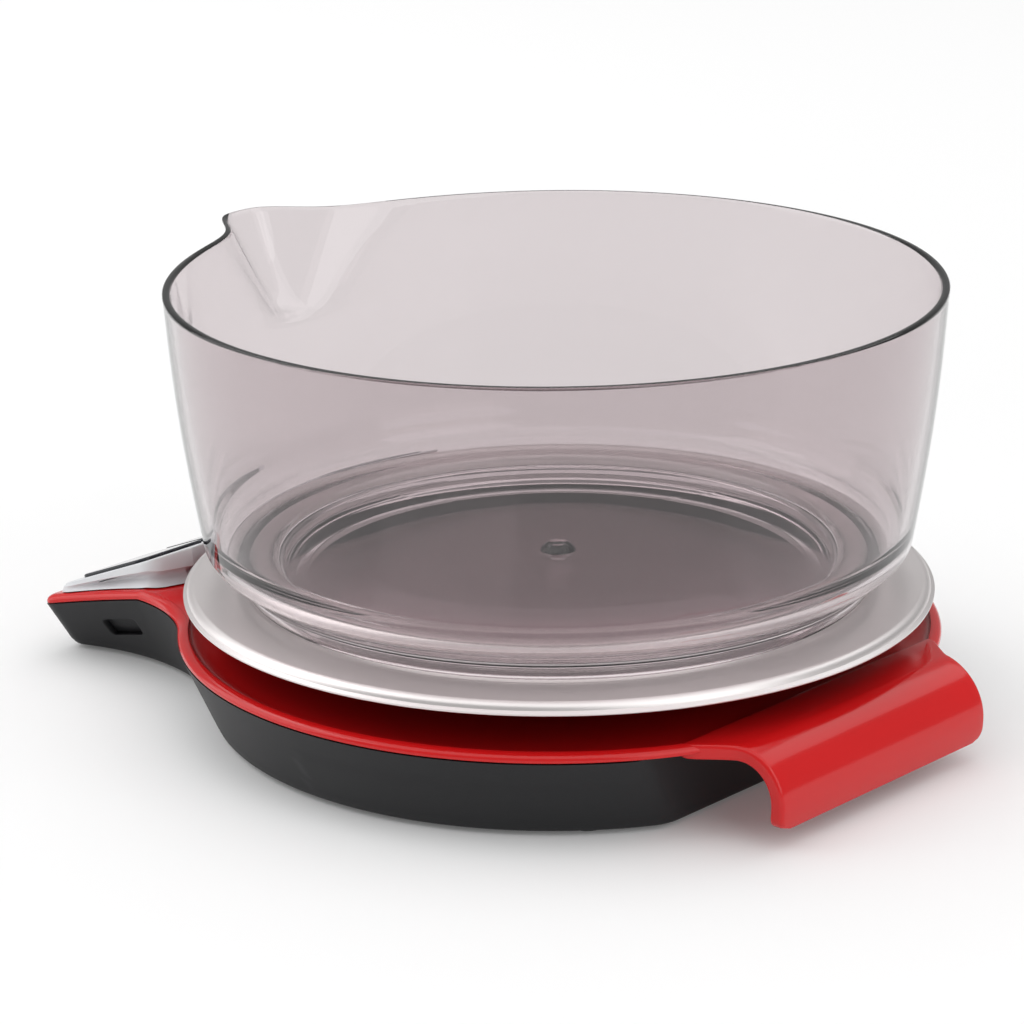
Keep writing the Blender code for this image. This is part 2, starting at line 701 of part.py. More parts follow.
def make_load_cell(frame):
    half = CELL_LENGTH / 2
    rings = box((-CELL_WIDTH / 2, CELL_WIDTH / 2), (-half, half), (CELL_BOTTOM, CELL_TOP))
    cell = piece("load_cell", rings, "aluminium", frame, smooth=False)
    for i, y in enumerate((*CELL_SCREWS, *(-y for y in CELL_SCREWS)), 1):
        bore = cylinder(f"cell_thread_{i}", (0.0, y), M3_SHANK + GAP, CUT_LOW, CUT_HIGH, frame, 16)
        combine(cell, "DIFFERENCE", bore)
    middle = (CELL_BOTTOM + CELL_TOP) / 2
    for i, y in enumerate((-BEAM_HOLE_RADIUS, BEAM_HOLE_RADIUS), 1):
        outline = arc((y * 1.2, middle), BEAM_HOLE_RADIUS, 9, 369, 20)[:-1]
        hole = helper(f"beam_hole_{i}", profile_bar(outline, CELL_WIDTH), frame)
        combine(cell, "DIFFERENCE", hole)
    return cell


def make_cell_shim(name, side, bottom, frame):
    y = side * CELL_SEAT_Y
    half = CELL_SCREW_SPACING / 2 + CELL_SCREW_INSET - GAP
    rings = box((-CELL_WIDTH / 2, CELL_WIDTH / 2), (y - half, y + half), (bottom, bottom + SHIM))
    shim = piece(name, rings, "zinc_steel", frame, smooth=False)
    for i, screw_y in enumerate(CELL_SCREWS, 1):
        spot = (0.0, side * screw_y)
        bore = cylinder(f"{name}_bore_{i}", spot, M3_SHANK + GAP, CUT_LOW, CUT_HIGH, frame, 16)
        combine(shim, "DIFFERENCE", bore)


def make_cell_screws(frame):
    """Two screws up through the pan into the fixed end, two down through the hub into the other."""
    seat = FLOOR_TOP - GAP
    up = screw_rings(M3_SHANK, M3_HEAD, M3_HEAD_HEIGHT, CELL_TOP - GAP - seat)
    hub_seat = HUB_BOTTOM + SHELL + GAP
    down = screw_rings(M3_SHANK, M3_HEAD, M3_HEAD_HEIGHT, hub_seat - CELL_BOTTOM - 1 * MM)
    for i, y in enumerate(CELL_SCREWS, 1):
        screw = piece(f"cell_base_screw_{i}", up, "zinc_steel", frame)
        screw.location = (0.0, -y, seat)
        screw = piece(f"cell_platform_screw_{i}", down, "zinc_steel", frame)
        screw.location = (0.0, y, hub_seat)
        screw.rotation_euler = (math.pi, 0.0, 0.0)


def make_overload_stop(frame):
    """Grub screw in the pan's boss, its tip just under the load cell's free end."""
    bottom = PAN_BOTTOM + GAP
    top = CELL_BOTTOM - 0.4 * MM
    edge = 0.3 * MM
    profile = [(M3_SHANK - edge, bottom), (M3_SHANK, bottom + edge), (M3_SHANK, top - edge)]
    profile.append((M3_SHANK - edge, top))
    piece("overload_stop_screw", turned(profile, (0.0, CELL_SEAT_Y), 16), "zinc_steel", frame)


def make_carrier(frame):
    low = CARRIER_TOP - CARRIER_THICKNESS
    rim = 1.2 * MM
    profile = [
        (CARRIER_RADIUS - rim, low),
        (CARRIER_RADIUS, low + rim),
        (CARRIER_RADIUS, CARRIER_TOP),
    ]
    carrier = piece("platform_carrier", turned(profile, count=64), "black_matte_plastic", frame)
    middle = CARRIER_TOP - CARRIER_THICKNESS / 2
    x, y = HUB_WIDTH / 2, HUB_LENGTH / 2
    seat_y = (CELL_SEAT_Y - y, CELL_SEAT_Y + y)
    hub = block("hub", (-x, x), seat_y, (HUB_BOTTOM, middle), frame)
    length = CARRIER_RADIUS - 4 * RIB_WIDTH
    thick = RIB_WIDTH / 2
    ribs = (
        block("rib_across", (-length, length), (-thick, thick), (low - RIB_DEPTH, middle), frame),
        block("rib_along", (-thick, thick), (-length, length), (low - RIB_DEPTH, middle), frame),
    )
    combine(carrier, "UNION", hub, *ribs)
    for i, screw_y in enumerate(CELL_SCREWS, 1):
        spot = (0.0, screw_y)
        bore = cylinder(f"hub_bore_{i}", spot, M3_SHANK + GAP, CUT_LOW, CUT_HIGH, frame, 16)
        well = cylinder(f"hub_well_{i}", spot, M3_HEAD + GAP, HUB_BOTTOM + SHELL, CUT_HIGH, frame)
        combine(carrier, "DIFFERENCE", bore, well)
    return carrier


def make_plate(frame):
    """The pressed steel pan: a flat top whose edge rolls down into a short skirt."""
    outer = []
    for share in (1.0, 0.7, 0.35, 0.0):
        radius = PLATE_RADIUS - EDGE_BEND * share
        outer.append((radius, PLATE_TOP - SKIRT_HEIGHT * (1.0 - share) ** 1.6))
    inner = [(max(0.0, r - SHEET * (0.1 + 0.9 * (i / 3))), z) for i, (r, z) in enumerate(outer)]
    inner = [(r, min(z, PLATE_TOP - SHEET)) for r, z in inner]
    inner[1] = (inner[1][0] - SHEET / 4, inner[1][1])
    inner[2] = (inner[2][0], inner[2][1] - SHEET / 4)
    profile = outer + inner[::-1]
    return piece("platform_plate", turned(profile, count=72), "brushed_steel", frame)


# Console


def make_bezel(frame, console):
    """A wedge between the top shell's band and the display plane, hollow underneath."""
    heights = (SEAM - BAND_HEIGHT * 5, PLATE_TOP + SKIRT_HEIGHT)
    rings = [level(bezel_outline(), z) for z in heights]
    bezel = piece("console_bezel", rings, "grey_satin_plastic", frame)
    far = CONSOLE_REACH * 2
    foot = [(-far, -far), (far, -far), (far, band_top(far) + GAP)]
    foot += [(-SEAM_BREAK, LIP_TOP + GAP), (-far, band_top(-far) + GAP)]
    combine(bezel, "DIFFERENCE", helper("band_below", profile_bar(foot, far), frame))
    above = block("above_display", (-far, far), (-far, far), (0.0, far), console)
    combine(bezel, "DIFFERENCE", above)
    side = WAIST_HALF - BEZEL_BORDER - PAN_WALL
    hollow = (LCD_SLOPE[0] - LCD_FRAME_WALL - 2 * GAP, on_slope(BEZEL_ARC + PAN_WALL))
    cavity = block("bezel_cavity", (-side, side), hollow, (-far, -BEZEL_TOP), console)
    combine(bezel, "DIFFERENCE", cavity)
    lens_pocket = outline_bar(lens_outline(GAP), -(LENS_THICKNESS - PROUD) - GAP, far)
    combine(bezel, "DIFFERENCE", helper("lens_pocket", lens_pocket, console))
    view = (LCD_SLOPE[0] + 1.5 * MM, LCD_SLOPE[1] - 0.5 * MM)
    width = LCD_HALF - 1.5 * MM
    window = block("lcd_window", (-width, width), view, (-BEZEL_TOP - GAP, far), console)
    combine(bezel, "DIFFERENCE", window)
    for side_name, sign in (("right", 1), ("left", -1)):
        depth = -(KEY_THICKNESS - PROUD) - KEY_TRAVEL - GAP / 3
        pocket = outline_bar(key_outline(sign, GAP), depth, far)
        combine(bezel, "DIFFERENCE", helper(f"key_pocket_{side_name}", pocket, console))
        stem = STEM_HALF + GAP
        x = (sign * SWITCH_X - stem, sign * SWITCH_X + stem)
        y = (SWITCH_SLOPE - stem, SWITCH_SLOPE + stem)
        hole = block(f"stem_hole_{side_name}", x, y, (-BEZEL_TOP - GAP, far), console)
        combine(bezel, "DIFFERENCE", hole)
        spot = (sign * BOARD_SCREW[0], BOARD_SCREW[1])
        top = -BEZEL_TOP + GAP
        boss = cylinder(f"board_boss_{side_name}", spot, BOARD_BOSS, -BOARD_TOP + GAP, top, console, 16)
        combine(bezel, "UNION", boss)
        roof = -BEZEL_TOP - GAP
        hole = cylinder(f"boss_hole_{side_name}", spot, BOARD_SHANK + GAP, -far, roof, console, 12)
        combine(bezel, "DIFFERENCE", hole)
    return bezel


def outline_bar(outline, low, high):
    return [level(outline, low), level(outline, high)]


def lens_outline(grow):
    low, high = on_slope(LENS_REACH[1]) - grow, on_slope(LENS_REACH[0]) + grow
    x = LENS_HALF + grow
    return rounded([(-x, low), (x, low), (x, high), (-x, high)], 2 * MM + grow, 3)


def key_outline(sign, grow):
    """A key's outline; its outer edge follows the console's flared side."""
    low, high = on_slope(KEY_REACH[1]) - grow, on_slope(KEY_REACH[0]) + grow
    inner = KEY_INNER - grow
    corners = [
        (inner, low),
        (KEY_OUTER[1] + grow, low),
        (KEY_OUTER[0] + grow, high),
        (inner, high),
    ]
    points = rounded(corners, KEY_CORNER + grow)
    return [(sign * x, y) for x, y in points]


def make_display(console):
    top, bottom = PROUD, PROUD - LENS_THICKNESS
    edge = 0.4 * MM
    rings = [
        level(lens_outline(0.0), bottom),
        level(lens_outline(0.0), top - edge),
        level(lens_outline(-edge), top),
    ]
    piece("display_lens", rings, "dark_gloss_plastic", console)
    glass = box((-LCD_HALF, LCD_HALF), LCD_SLOPE, (-LCD_TOP - LCD_THICKNESS, -LCD_TOP))
    piece("lcd_module", glass, "lcd_glass", console, smooth=False)
    grow = GAP + LCD_FRAME_WALL
    y = (LCD_SLOPE[0] - grow, LCD_SLOPE[1] + grow)
    outer = box((-LCD_HALF - grow, LCD_HALF + grow), y, (-BOARD_TOP + GAP, -LCD_TOP))
    frame = piece("lcd_frame", outer, "white_plastic", console, smooth=False)
    y = (LCD_SLOPE[0] - GAP, LCD_SLOPE[1] + GAP)
    inner = block("lcd_seat", (-LCD_HALF - GAP, LCD_HALF + GAP), y, (-CUT_HIGH, 0.0), console)
    combine(frame, "DIFFERENCE", inner)
    y = (LCD_SLOPE[0] + GAP, LCD_SLOPE[0] + GAP + STRIP_WIDTH)
    length = LCD_HALF - 2 * MM
    strip = box((-length, length), y, (-STRIP_TOP - STRIP_HEIGHT, -STRIP_TOP))
    piece("contact_strip", strip, "rubber", console, smooth=False)


def make_main_board(console):
    z = (-BOARD_TOP - BOARD_THICKNESS, -BOARD_TOP)
    slab = box((-BOARD_HALF, BOARD_HALF), BOARD_SLOPE, z)
    board = piece("main_board", slab, "circuit_board", console, False)
    rings = screw_rings(BOARD_SHANK, BOARD_HEAD, BOARD_HEAD_HEIGHT, BOARD_THICKNESS + 4 * MM, 12)
    for side_name, sign in (("right", 1), ("left", -1)):
        spot = (sign * BOARD_SCREW[0], BOARD_SCREW[1])
        hole = cylinder(f"board_hole_{side_name}", spot, BOARD_SHANK + GAP, -CUT_HIGH, 0.0, console, 12)
        combine(board, "DIFFERENCE", hole)
        screw = piece(f"board_screw_{side_name}", rings, "zinc_steel", console)
        screw.location = (*spot, z[0] - GAP)
        make_switch(f"tact_switch_{side_name}", sign * SWITCH_X, console)
    return board


def make_switch(name, x, console):
    """A tact switch: square body, round plunger."""
    half = SWITCH_SIZE / 2
    low = -BOARD_TOP + GAP
    rings = box((x - half, x + half), (SWITCH_SLOPE - half, SWITCH_SLOPE + half), (low, low + SWITCH_BODY))
    switch = piece(name, rings, "white_plastic", console, smooth=False)
    top = -STEM_BOTTOM - KEY_TRAVEL - GAP / 3
    plunger = cylinder(f"{name}_plunger", (x, SWITCH_SLOPE), half / 2, low + half / 2, top, console, 12)
    combine(switch, "UNION", plunger)


def make_key(name, sign, console):
    """A key pad with its stem. Its origin is in the middle of its stem, on the display plane."""
    middle = Vector((sign * SWITCH_X, SWITCH_SLOPE))
    edge = 0.4 * MM

    def ring(grow, height):
        return [(x - middle.x, y - middle.y, height) for x, y in key_outline(sign, grow)]

    rings = [ring(0.0, PROUD - KEY_THICKNESS), ring(0.0, PROUD - edge), ring(-edge, PROUD)]
    key = piece(name, rings, "dark_gloss_plastic", console)
    key.location = (*middle, 0.0)
    span = (-STEM_HALF, STEM_HALF)
    stem = block(f"{name}_stem", span, span, (-STEM_BOTTOM, 0.0), console)
    stem.location = key.location
    combine(key, "UNION", stem)
    return key


# Charging socket, battery and leads


def make_socket(port_frame):
    """Metal socket, plastic tongue and the small board that carries them."""
    half_width, half_height = SOCKET_WIDTH / 2, SOCKET_HEIGHT / 2

    def section(inset):
        y, z = half_width - inset, half_height - inset
        corners = [(-y, -z), (y, -z), (y, z), (-y, z)]
        return rounded(corners, z * 0.8, 3)

    def bar(inset, x):
        return [(x, y, z) for y, z in section(inset)]

    deep = -SOCKET_LENGTH + SOCKET_SHELL
    rings = [bar(0.0, -SOCKET_LENGTH), bar(0.0, 0.0), bar(SOCKET_SHELL, 0.0), bar(SOCKET_SHELL, deep)]
    piece("charging_socket", rings, "zinc_steel", port_frame)
    y, z = half_width - SOCKET_SHELL - 0.8 * MM, 0.35 * MM
    tongue = box((deep + GAP, -0.8 * MM), (-y, y), (-z, z))
    piece("socket_tongue", tongue, "dark_gloss_plastic", port_frame, smooth=False)
    length, width, thickness = CHARGE_BOARD
    top = -half_height - GAP
    board = box((-length - 1 * MM, -1 * MM), (-width / 2, width / 2), (top - thickness, top))
    piece("charge_board", board, "circuit_board", port_frame, smooth=False)


def make_battery(frame):
    width, length, height = BATTERY
    x, y = BATTERY_PLACE
    bottom = FLOOR_TOP + GAP
    span_x, span_y = (x - width / 2, x + width / 2), (y - length / 2, y + length / 2)
    inset = 3 * MM
    pad = box(
        (span_x[0] + inset, span_x[1] - inset),
        (span_y[0] + inset, span_y[1] - inset),
        (bottom, bottom + BATTERY_PAD),
    )
    piece("battery_pad", pad, "rubber", frame, smooth=False)
    base = bottom + BATTERY_PAD + GAP
    (left, right), (near, far) = span_x, span_y
    corners = [(left, near), (right, near), (right, far), (left, far)]

    def ring(height, radius):
        return level(rounded(corners, radius, 3), base + height)

    rings = [ring(0.0, 2.5 * MM), ring(height, 2.5 * MM)]
    piece("battery_cell", rings, "battery_foil", frame)


def make_lead(name, route, radius, frame):
    """A lead: a round tube along a smooth curve (centripetal steps, eased) through its route."""
    knots = [Vector(point) for point in route]
    knots = [2 * knots[0] - knots[1]] + knots + [2 * knots[-1] - knots[-2]]
    points = []
    steps = 5
    for a, b, c, d in zip(knots, knots[1:], knots[2:], knots[3:]):
        for i in range(steps):
            t = i / steps
            square = 2 * a - 5 * b + 4 * c - d
            cube = 3 * b - a - 3 * c + d
            points.append(0.5 * (2 * b + (c - a) * t + square * t**2 + cube * t**3))
    points.append(knots[-2])
    curve = bpy.data.curves.new(name, "CURVE")
    curve.dimensions = "3D"
    curve.bevel_depth = radius
    curve.bevel_resolution = 2
    curve.use_fill_caps = True
    spline = curve.splines.new("POLY")
    spline.points.add(len(points) - 1)
    for target, point in zip(spline.points, points):
        target.co = (*point, 1.0)
    curve.materials.append(material("wire_jacket"))
    obj = bpy.data.objects.new(name, curve)
    obj.parent = frame
    bpy.context.scene.collection.objects.link(obj)
    return obj


def make_leads(frame, console_matrix, port_matrix):
    """Leads from the load cell, the battery and the charge board."""
    radius = 1.0 * MM
    under_board = -BOARD_TOP - BOARD_THICKNESS - 2 * GAP

    def board_end(x):
        end = console_matrix @ Vector((x, BOARD_SLOPE[1] - 4 * MM, under_board))
        below = console_matrix @ Vector((x, BOARD_SLOPE[1] - 4 * MM, under_board - 3 * MM))
        return below, end

    run = FLOOR_TOP + radius + GAP
    cell_x = CELL_WIDTH / 2 + 2 * GAP
    cell_end = Vector((cell_x, -CELL_SEAT_Y + CELL_SCREW_SPACING, (CELL_BOTTOM + CELL_TOP) / 2))
    route = [
        cell_end,
        cell_end + Vector((4 * MM, 0.0, 0.0)),
        Vector((cell_x + 8 * MM, -CELL_SEAT_Y - 10 * MM, run + 1 * MM)),
        Vector((cell_x + 6 * MM, -70 * MM, run)),
        Vector((cell_x + 6 * MM, -94 * MM, run + 1 * MM)),
        *board_end(cell_x + 6 * MM),
    ]
    make_lead("load_cell_lead", route, radius, frame)
    x, y = BATTERY_PLACE
    front = y - BATTERY[1] / 2 - GAP
    mid = FLOOR_TOP + GAP + BATTERY_PAD + GAP + BATTERY[2] / 2
    route = [
        Vector((x, front, mid)),
        Vector((x, front - 4 * MM, mid)),
        Vector((x + 4 * MM, front - 12 * MM, run + 1 * MM)),
        Vector((x + 8 * MM, -96 * MM, run + 1 * MM)),
        *board_end(x + 8 * MM),
    ]
    make_lead("battery_lead", route, radius, frame)
    length, _, thickness = CHARGE_BOARD
    inner = port_matrix @ Vector((-length - 1 * MM - GAP, 0.0, -SOCKET_HEIGHT / 2 - GAP - thickness / 2))
    route = [
        inner,
        inner + Vector((-3 * MM, 0.0, 0.0)),
        inner + Vector((-5.5 * MM, 0.0, -1 * MM)),
    ]
    below, end = board_end(inner.x - 7.5 * MM)
    make_lead("charge_lead", [*route, below + Vector((0.0, 0.0, -0.3 * MM)), end], 0.7 * MM, frame)


# Bowl


def bowl_angles():
    """Angles round the bowl in degrees, closer together at the spout, which points to -Y."""
    fine = np.linspace(-SPOUT_HALF_ANGLE, SPOUT_HALF_ANGLE, 21)
    coarse = np.linspace(fine[-1], 360 + fine[0], 49)[1:-1]
    return np.concatenate([fine, coarse]) - 90.0


def bowl_ring(radius, height):
    """A ring of the bowl: a circle, drawn out at the spout. The spout's depth is a raised cosine
    round the ring and grows as a power of the way up from its foot. It is narrow and round at its
    foot and widens on the way up."""
    angles = bowl_angles()
    up = max(0.0, (height - (BOWL_RIM - SPOUT_DEPTH)) / SPOUT_DEPTH)
    round_foot = math.sqrt(1.0 - (1.0 - min(up / 0.12, 1.0)) ** 2)
    half = mix(SPOUT_FOOT_ANGLE * round_foot, SPOUT_HALF_ANGLE, up)
    off = np.abs((angles + 90.0 + 180.0) % 360.0 - 180.0) / max(half, 1e-6)
    across = (0.5 + 0.5 * np.cos(np.pi * np.clip(off, 0.0, 1.0))) ** 1.1
    radii = radius + SPOUT_REACH * across * up**0.8
    a = np.radians(angles)
    return [(r * math.cos(t), r * math.sin(t), height) for r, t in zip(radii, a)]


def bowl_wall(share, inset):
    """(radius, height) of the wall at a share of the way up from its corner, slightly bulged."""
    bulge = BOWL_BULGE * math.sin(math.pi * share)
    radius = mix(BOWL_CORNER_RADIUS, BOWL_RIM_RADIUS, share) + bulge - inset
    return radius, mix(BOWL_CORNER, BOWL_RIM, share)


def make_bowl(frame):
    foot = PLATE_TOP + GAP
    underside = BOWL_FLOOR - BOWL_WALL
    inner_foot = BOWL_FOOT_RADIUS - BOWL_FOOT_WIDTH
    shares = (0.0, 0.25, 0.56, 0.62, 0.7, 0.85, 1.0)
    profile = [
        (inner_foot - 2 * MM, underside),
        (inner_foot, foot),
        (BOWL_FOOT_RADIUS, foot),
        (BOWL_FOOT_RADIUS + 0.8 * MM, foot + 4.7 * MM),
        (BOWL_CORNER_RADIUS - 5.2 * MM, BOWL_CORNER - 5.8 * MM),
        (BOWL_CORNER_RADIUS - 2.0 * MM, BOWL_CORNER - 3.6 * MM),
    ]
    profile += [bowl_wall(share, 0.0) for share in shares]
    profile += [bowl_wall(share, BOWL_WALL) for share in reversed(shares)]
    profile += [
        (BOWL_FOOT_RADIUS + 2.0 * MM, BOWL_FLOOR + 3.2 * MM),
        (inner_foot - 4.4 * MM, BOWL_FLOOR + 2.2 * MM),
        (inner_foot - 6.0 * MM, BOWL_FLOOR),
    ]
    rings = [bowl_ring(radius, height) for radius, height in profile]
    return piece("bowl", rings, "smoke_clear_plastic", frame)


def main():
    clear_scene()
    frame = empty("platform_frame", (0.0, PLATFORM_Y, 0.0))
    console_place = Vector((0.0, -CONSOLE_MIDDLE, display_height(CONSOLE_MIDDLE)))
    console = empty("console_frame", console_place, DISPLAY_TILT, frame)
    port_place = Vector((SOCKET_MOUTH, -PORT_REACH, PORT_HEIGHT))
    port_frame = empty("port_frame", port_place, SOCKET_SLOPE, frame)
    make_base_pan(frame, port_frame)
    make_feet(frame)
    make_housing_screws(frame)
    make_top_shell(frame)
    make_load_cell(frame)
    make_cell_shim("cell_base_shim", -1, CELL_BOSS_HEIGHT + GAP, frame)
    make_cell_shim("cell_platform_shim", 1, CELL_TOP + GAP, frame)
    make_cell_screws(frame)
    make_overload_stop(frame)
    make_carrier(frame)
    make_plate(frame)
    make_bezel(frame, console)
    make_display(console)
    make_main_board(console)
    make_key("key_right", 1, console)
    make_key("key_left", -1, console)
    make_socket(port_frame)
    make_battery(frame)
    turn = Matrix.Translation(console_place) @ Matrix.Rotation(DISPLAY_TILT, 4, "X")
    port_turn = Matrix.Translation(port_place) @ Matrix.Rotation(SOCKET_SLOPE, 4, "X")
    make_leads(frame, turn, port_turn)
    make_bowl(frame)


main()
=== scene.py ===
"""The looks of a kitchen scale: a clear smoke-tinted bowl with a pouring lip on a steel platform,
in a red shell with a curled handle, over a black base pan with a tilted console.

Lengths are in millimetres, measured from the platform's axis and from the table, and become metres
in the meshes. The console points towards -Y and the handle towards +Y.
"""

import json
import math

import bmesh
import bpy
import numpy as np
from mathutils import Matrix, Vector
from mathutils.geometry import tessellate_polygon

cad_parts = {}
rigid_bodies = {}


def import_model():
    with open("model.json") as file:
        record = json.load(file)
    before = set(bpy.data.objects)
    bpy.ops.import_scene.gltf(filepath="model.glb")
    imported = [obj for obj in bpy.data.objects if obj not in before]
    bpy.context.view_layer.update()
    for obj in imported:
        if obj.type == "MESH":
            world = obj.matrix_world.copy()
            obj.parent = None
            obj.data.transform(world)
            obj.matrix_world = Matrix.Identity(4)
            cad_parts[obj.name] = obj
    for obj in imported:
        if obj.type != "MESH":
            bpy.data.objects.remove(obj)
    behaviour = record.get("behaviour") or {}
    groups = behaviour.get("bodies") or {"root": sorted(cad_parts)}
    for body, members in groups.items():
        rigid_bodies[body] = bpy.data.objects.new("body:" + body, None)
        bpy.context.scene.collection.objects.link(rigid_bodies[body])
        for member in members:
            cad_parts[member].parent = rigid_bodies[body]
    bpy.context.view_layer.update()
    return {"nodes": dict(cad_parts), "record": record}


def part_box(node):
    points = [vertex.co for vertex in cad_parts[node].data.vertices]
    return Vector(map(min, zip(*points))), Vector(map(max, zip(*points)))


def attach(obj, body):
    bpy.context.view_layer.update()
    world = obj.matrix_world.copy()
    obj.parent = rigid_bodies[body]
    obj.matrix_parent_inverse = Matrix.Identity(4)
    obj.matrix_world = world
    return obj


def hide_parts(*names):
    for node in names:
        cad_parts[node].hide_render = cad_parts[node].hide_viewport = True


MM = 0.001

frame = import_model()


def extent(node):
    """Lowest and highest corner of a CAD node, in millimetres."""
    low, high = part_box(node)
    return np.array(low) / MM, np.array(high) / MM


PAN_LOW, PAN_HIGH = extent("base_pan")
SHELL_LOW, SHELL_HIGH = extent("top_shell")
PLATE_LOW, PLATE_HIGH = extent("platform_plate")
BOWL_LOW, BOWL_HIGH = extent("bowl")
AXIS_Y = (PLATE_LOW[1] + PLATE_HIGH[1]) / 2

# Housing
GAP = 0.3
BODY_RADIUS = 96.8
CONSOLE_REACH = AXIS_Y - PAN_LOW[1]
WAIST_HALF = 58.5
TIP_HALF = WAIST_HALF + 4.0
FILLET = 40.0
CORNER = 4.0
LEAST_CORNER = 0.4
SEAM_BREAK = math.sqrt((BODY_RADIUS + FILLET) ** 2 - (WAIST_HALF + FILLET) ** 2)
SEAM_SLOPE = 0.228
PAN_BOTTOM = PAN_LOW[2]
SEAM = PAN_HIGH[2]
PAN_DRAFT = 9.0
PAN_FLAT = BODY_RADIUS - 18.8
PAN_FLAT_DRAFT = 2.5
PAN_CORNER = 12.0
TIP_DRAFT_SIDE = 8.5
TIP_DRAFT_FRONT = 0.4
PAN_ROUND = 1.4
BOTTOM_FILLET = 62.0
WALL = 2.2
BODY_POINTS = 96
FILLET_POINTS = 24
FLARE_POINTS = 32

# Red shell
LIP_TOP = SHELL_HIGH[2]
BAND_HEIGHT = LIP_TOP - SEAM
BAND_UPRIGHT = 0.55
BAND_FOOT_ROUND = 0.25
BAND_INNER = 5.0
BAND_BLEND = 6.0
BAND_SUNK = 1.5
LIP_WIDTH = 2.6
DISH_EDGE = BODY_RADIUS - 2.75
DISH_FLOOR = LIP_TOP - 2.6
DISH_FLAT = BODY_RADIUS - 8.8
DISH_SLOPE = DISH_EDGE - DISH_FLAT
DISH_RISE = 2.2
DISH_RISE_ANGLE = 30.0
DISH_RISE_SPAN = 16.0
DISH_SOFTNESS = 1.5
HUB_OPENING = 17.5
DECK_SHEET = 1.4
DECK_SINK = 0.06
DECK_POINTS = 60
SHELL_SHEET = 1.8
HANDLE_START = 93.0
HANDLE_REACH = SHELL_HIGH[1] - AXIS_Y
HANDLE_CURL = 13.0
HANDLE_LOW = SHELL_LOW[2]
HANDLE_ROOT = 47.5
HANDLE_END = 39.5
HANDLE_SHEET = 2.0
HANDLE_ANGLE = 31.0
HANDLE_LEVEL = 12.0
HANDLE_CORNER = 3.2
HANDLE_DRAWN = 0.7
CURL_START = HANDLE_REACH - HANDLE_CURL
CURL_WAY = HANDLE_CURL * math.pi / 2
HANDLE_DROP = LIP_TOP - HANDLE_CURL - HANDLE_LOW
FLANGE_DEPTH = 3.6
FLANGE_WIDTH = 1.8
WINDOW_REAR = BODY_RADIUS + 5.2

# Console
TILT = math.radians(22)
DISPLAY_FRONT = SEAM - 4.0
BEZEL_INSET = 2.8
BEZEL_ARC = BODY_RADIUS + 2.0
BEZEL_HORN = WAIST_HALF - 15.5
BEZEL_CORNER = 7.0
BEZEL_TIP_CORNER = 4.5
BEZEL_REAR = BODY_RADIUS + 1.2
BEZEL_CREASE_INSET = 0.5
BEZEL_HOLLOW = 2.6
CREASE = 28.6
PROUD = 0.9
POCKET_DEPTH = 2.2
DISPLAY_HALF = 26.5
DISPLAY_FIELD = (21.5, 6.5)
KEY_INNER = 30.5
KEY_OUTER = WAIST_HALF - 5.5
KEY_LEAN = 3.0
CONSOLE_MIDDLE = (BODY_RADIUS + CONSOLE_REACH) / 2 - 3.0

# Bowl
BOWL_WALL = 2.8
RIM_WALL = 2.0
RIM_RADIUS = BODY_RADIUS + 0.2
RIM = BOWL_HIGH[2]
CORNER_RADIUS = RIM_RADIUS - 7.6
BOWL_CORNER = RIM - 63.5
FOOT = BOWL_LOW[2]
FOOT_RADIUS = RIM_RADIUS - 17.6
FLOOR = FOOT + 5.3
FLOOR_RING = 70.4
SPOUT_REACH = 17.5
SPOUT_DEPTH = 28.0
SPOUT_HALF_ANGLE = 7.6
SPOUT_FOOT_ANGLE = 2.6
SPOUT_EASE = 0.14
PIP_RADIUS = 5.2

# Platform
PLATE_RADIUS = BODY_RADIUS - 1.8
PLATE_TOP = PLATE_HIGH[2]
SKIRT_BOTTOM = PLATE_LOW[2]
PLATE_SHEET = 0.8

# Charging port
PORT_REACH = CONSOLE_MIDDLE - 4.5
PORT_HEIGHT = SEAM / 2
PORT_WIDTH = 12.9
PORT_OPENING = 5.0
PORT_CORNER = 1.2
PORT_MARGIN_Y = 2.0
PORT_MARGIN_Z = 2.6
PORT_SLOPE = math.atan(SEAM_SLOPE)


# Curves


def arc(centre, radius, start, end, count):
    """Arc from angle start to end in degrees: centre + radius * (cos a, sin a)."""
    a = np.radians(np.linspace(start, end, count + 1))
    return np.column_stack([centre[0] + radius * np.cos(a), centre[1] + radius * np.sin(a)])


def run(start, end, count):
    """Evenly spaced points of a straight run, both ends included."""
    t = np.linspace(0.0, 1.0, count + 1)[:, None]
    return (1 - t) * np.asarray(start, float) + t * np.asarray(end, float)


def joined(*runs):
    """Runs laid end to end; each run's first point is the last point of the one before."""
    return np.concatenate([runs[0]] + [later[1:] for later in runs[1:]])


def mirrored(half):
    """A closed outline from its right half, which runs from x = 0 to x = 0."""
    return np.concatenate([half, half[-2:0:-1] * (-1, 1)])


def smooth(share):
    """Smooth step from 0 to 1: 3t^2 - 2t^3 of the clipped share."""
    t = np.clip(share, 0.0, 1.0)
    return t * t * (3 - 2 * t)


def resampled(points, count):
    """The same curve with count + 1 points, evenly spaced along its length."""
    way = np.concatenate([[0.0], np.cumsum(np.linalg.norm(np.diff(points, axis=0), axis=1))])
    even = np.linspace(0.0, way[-1], count + 1)
    return np.column_stack([np.interp(even, way, points[:, k]) for k in range(points.shape[1])])


def at_height(outline, height):
    """Outline points lifted to a height: a number or one height for each point."""
    return np.column_stack([outline, np.broadcast_to(height, len(outline))])


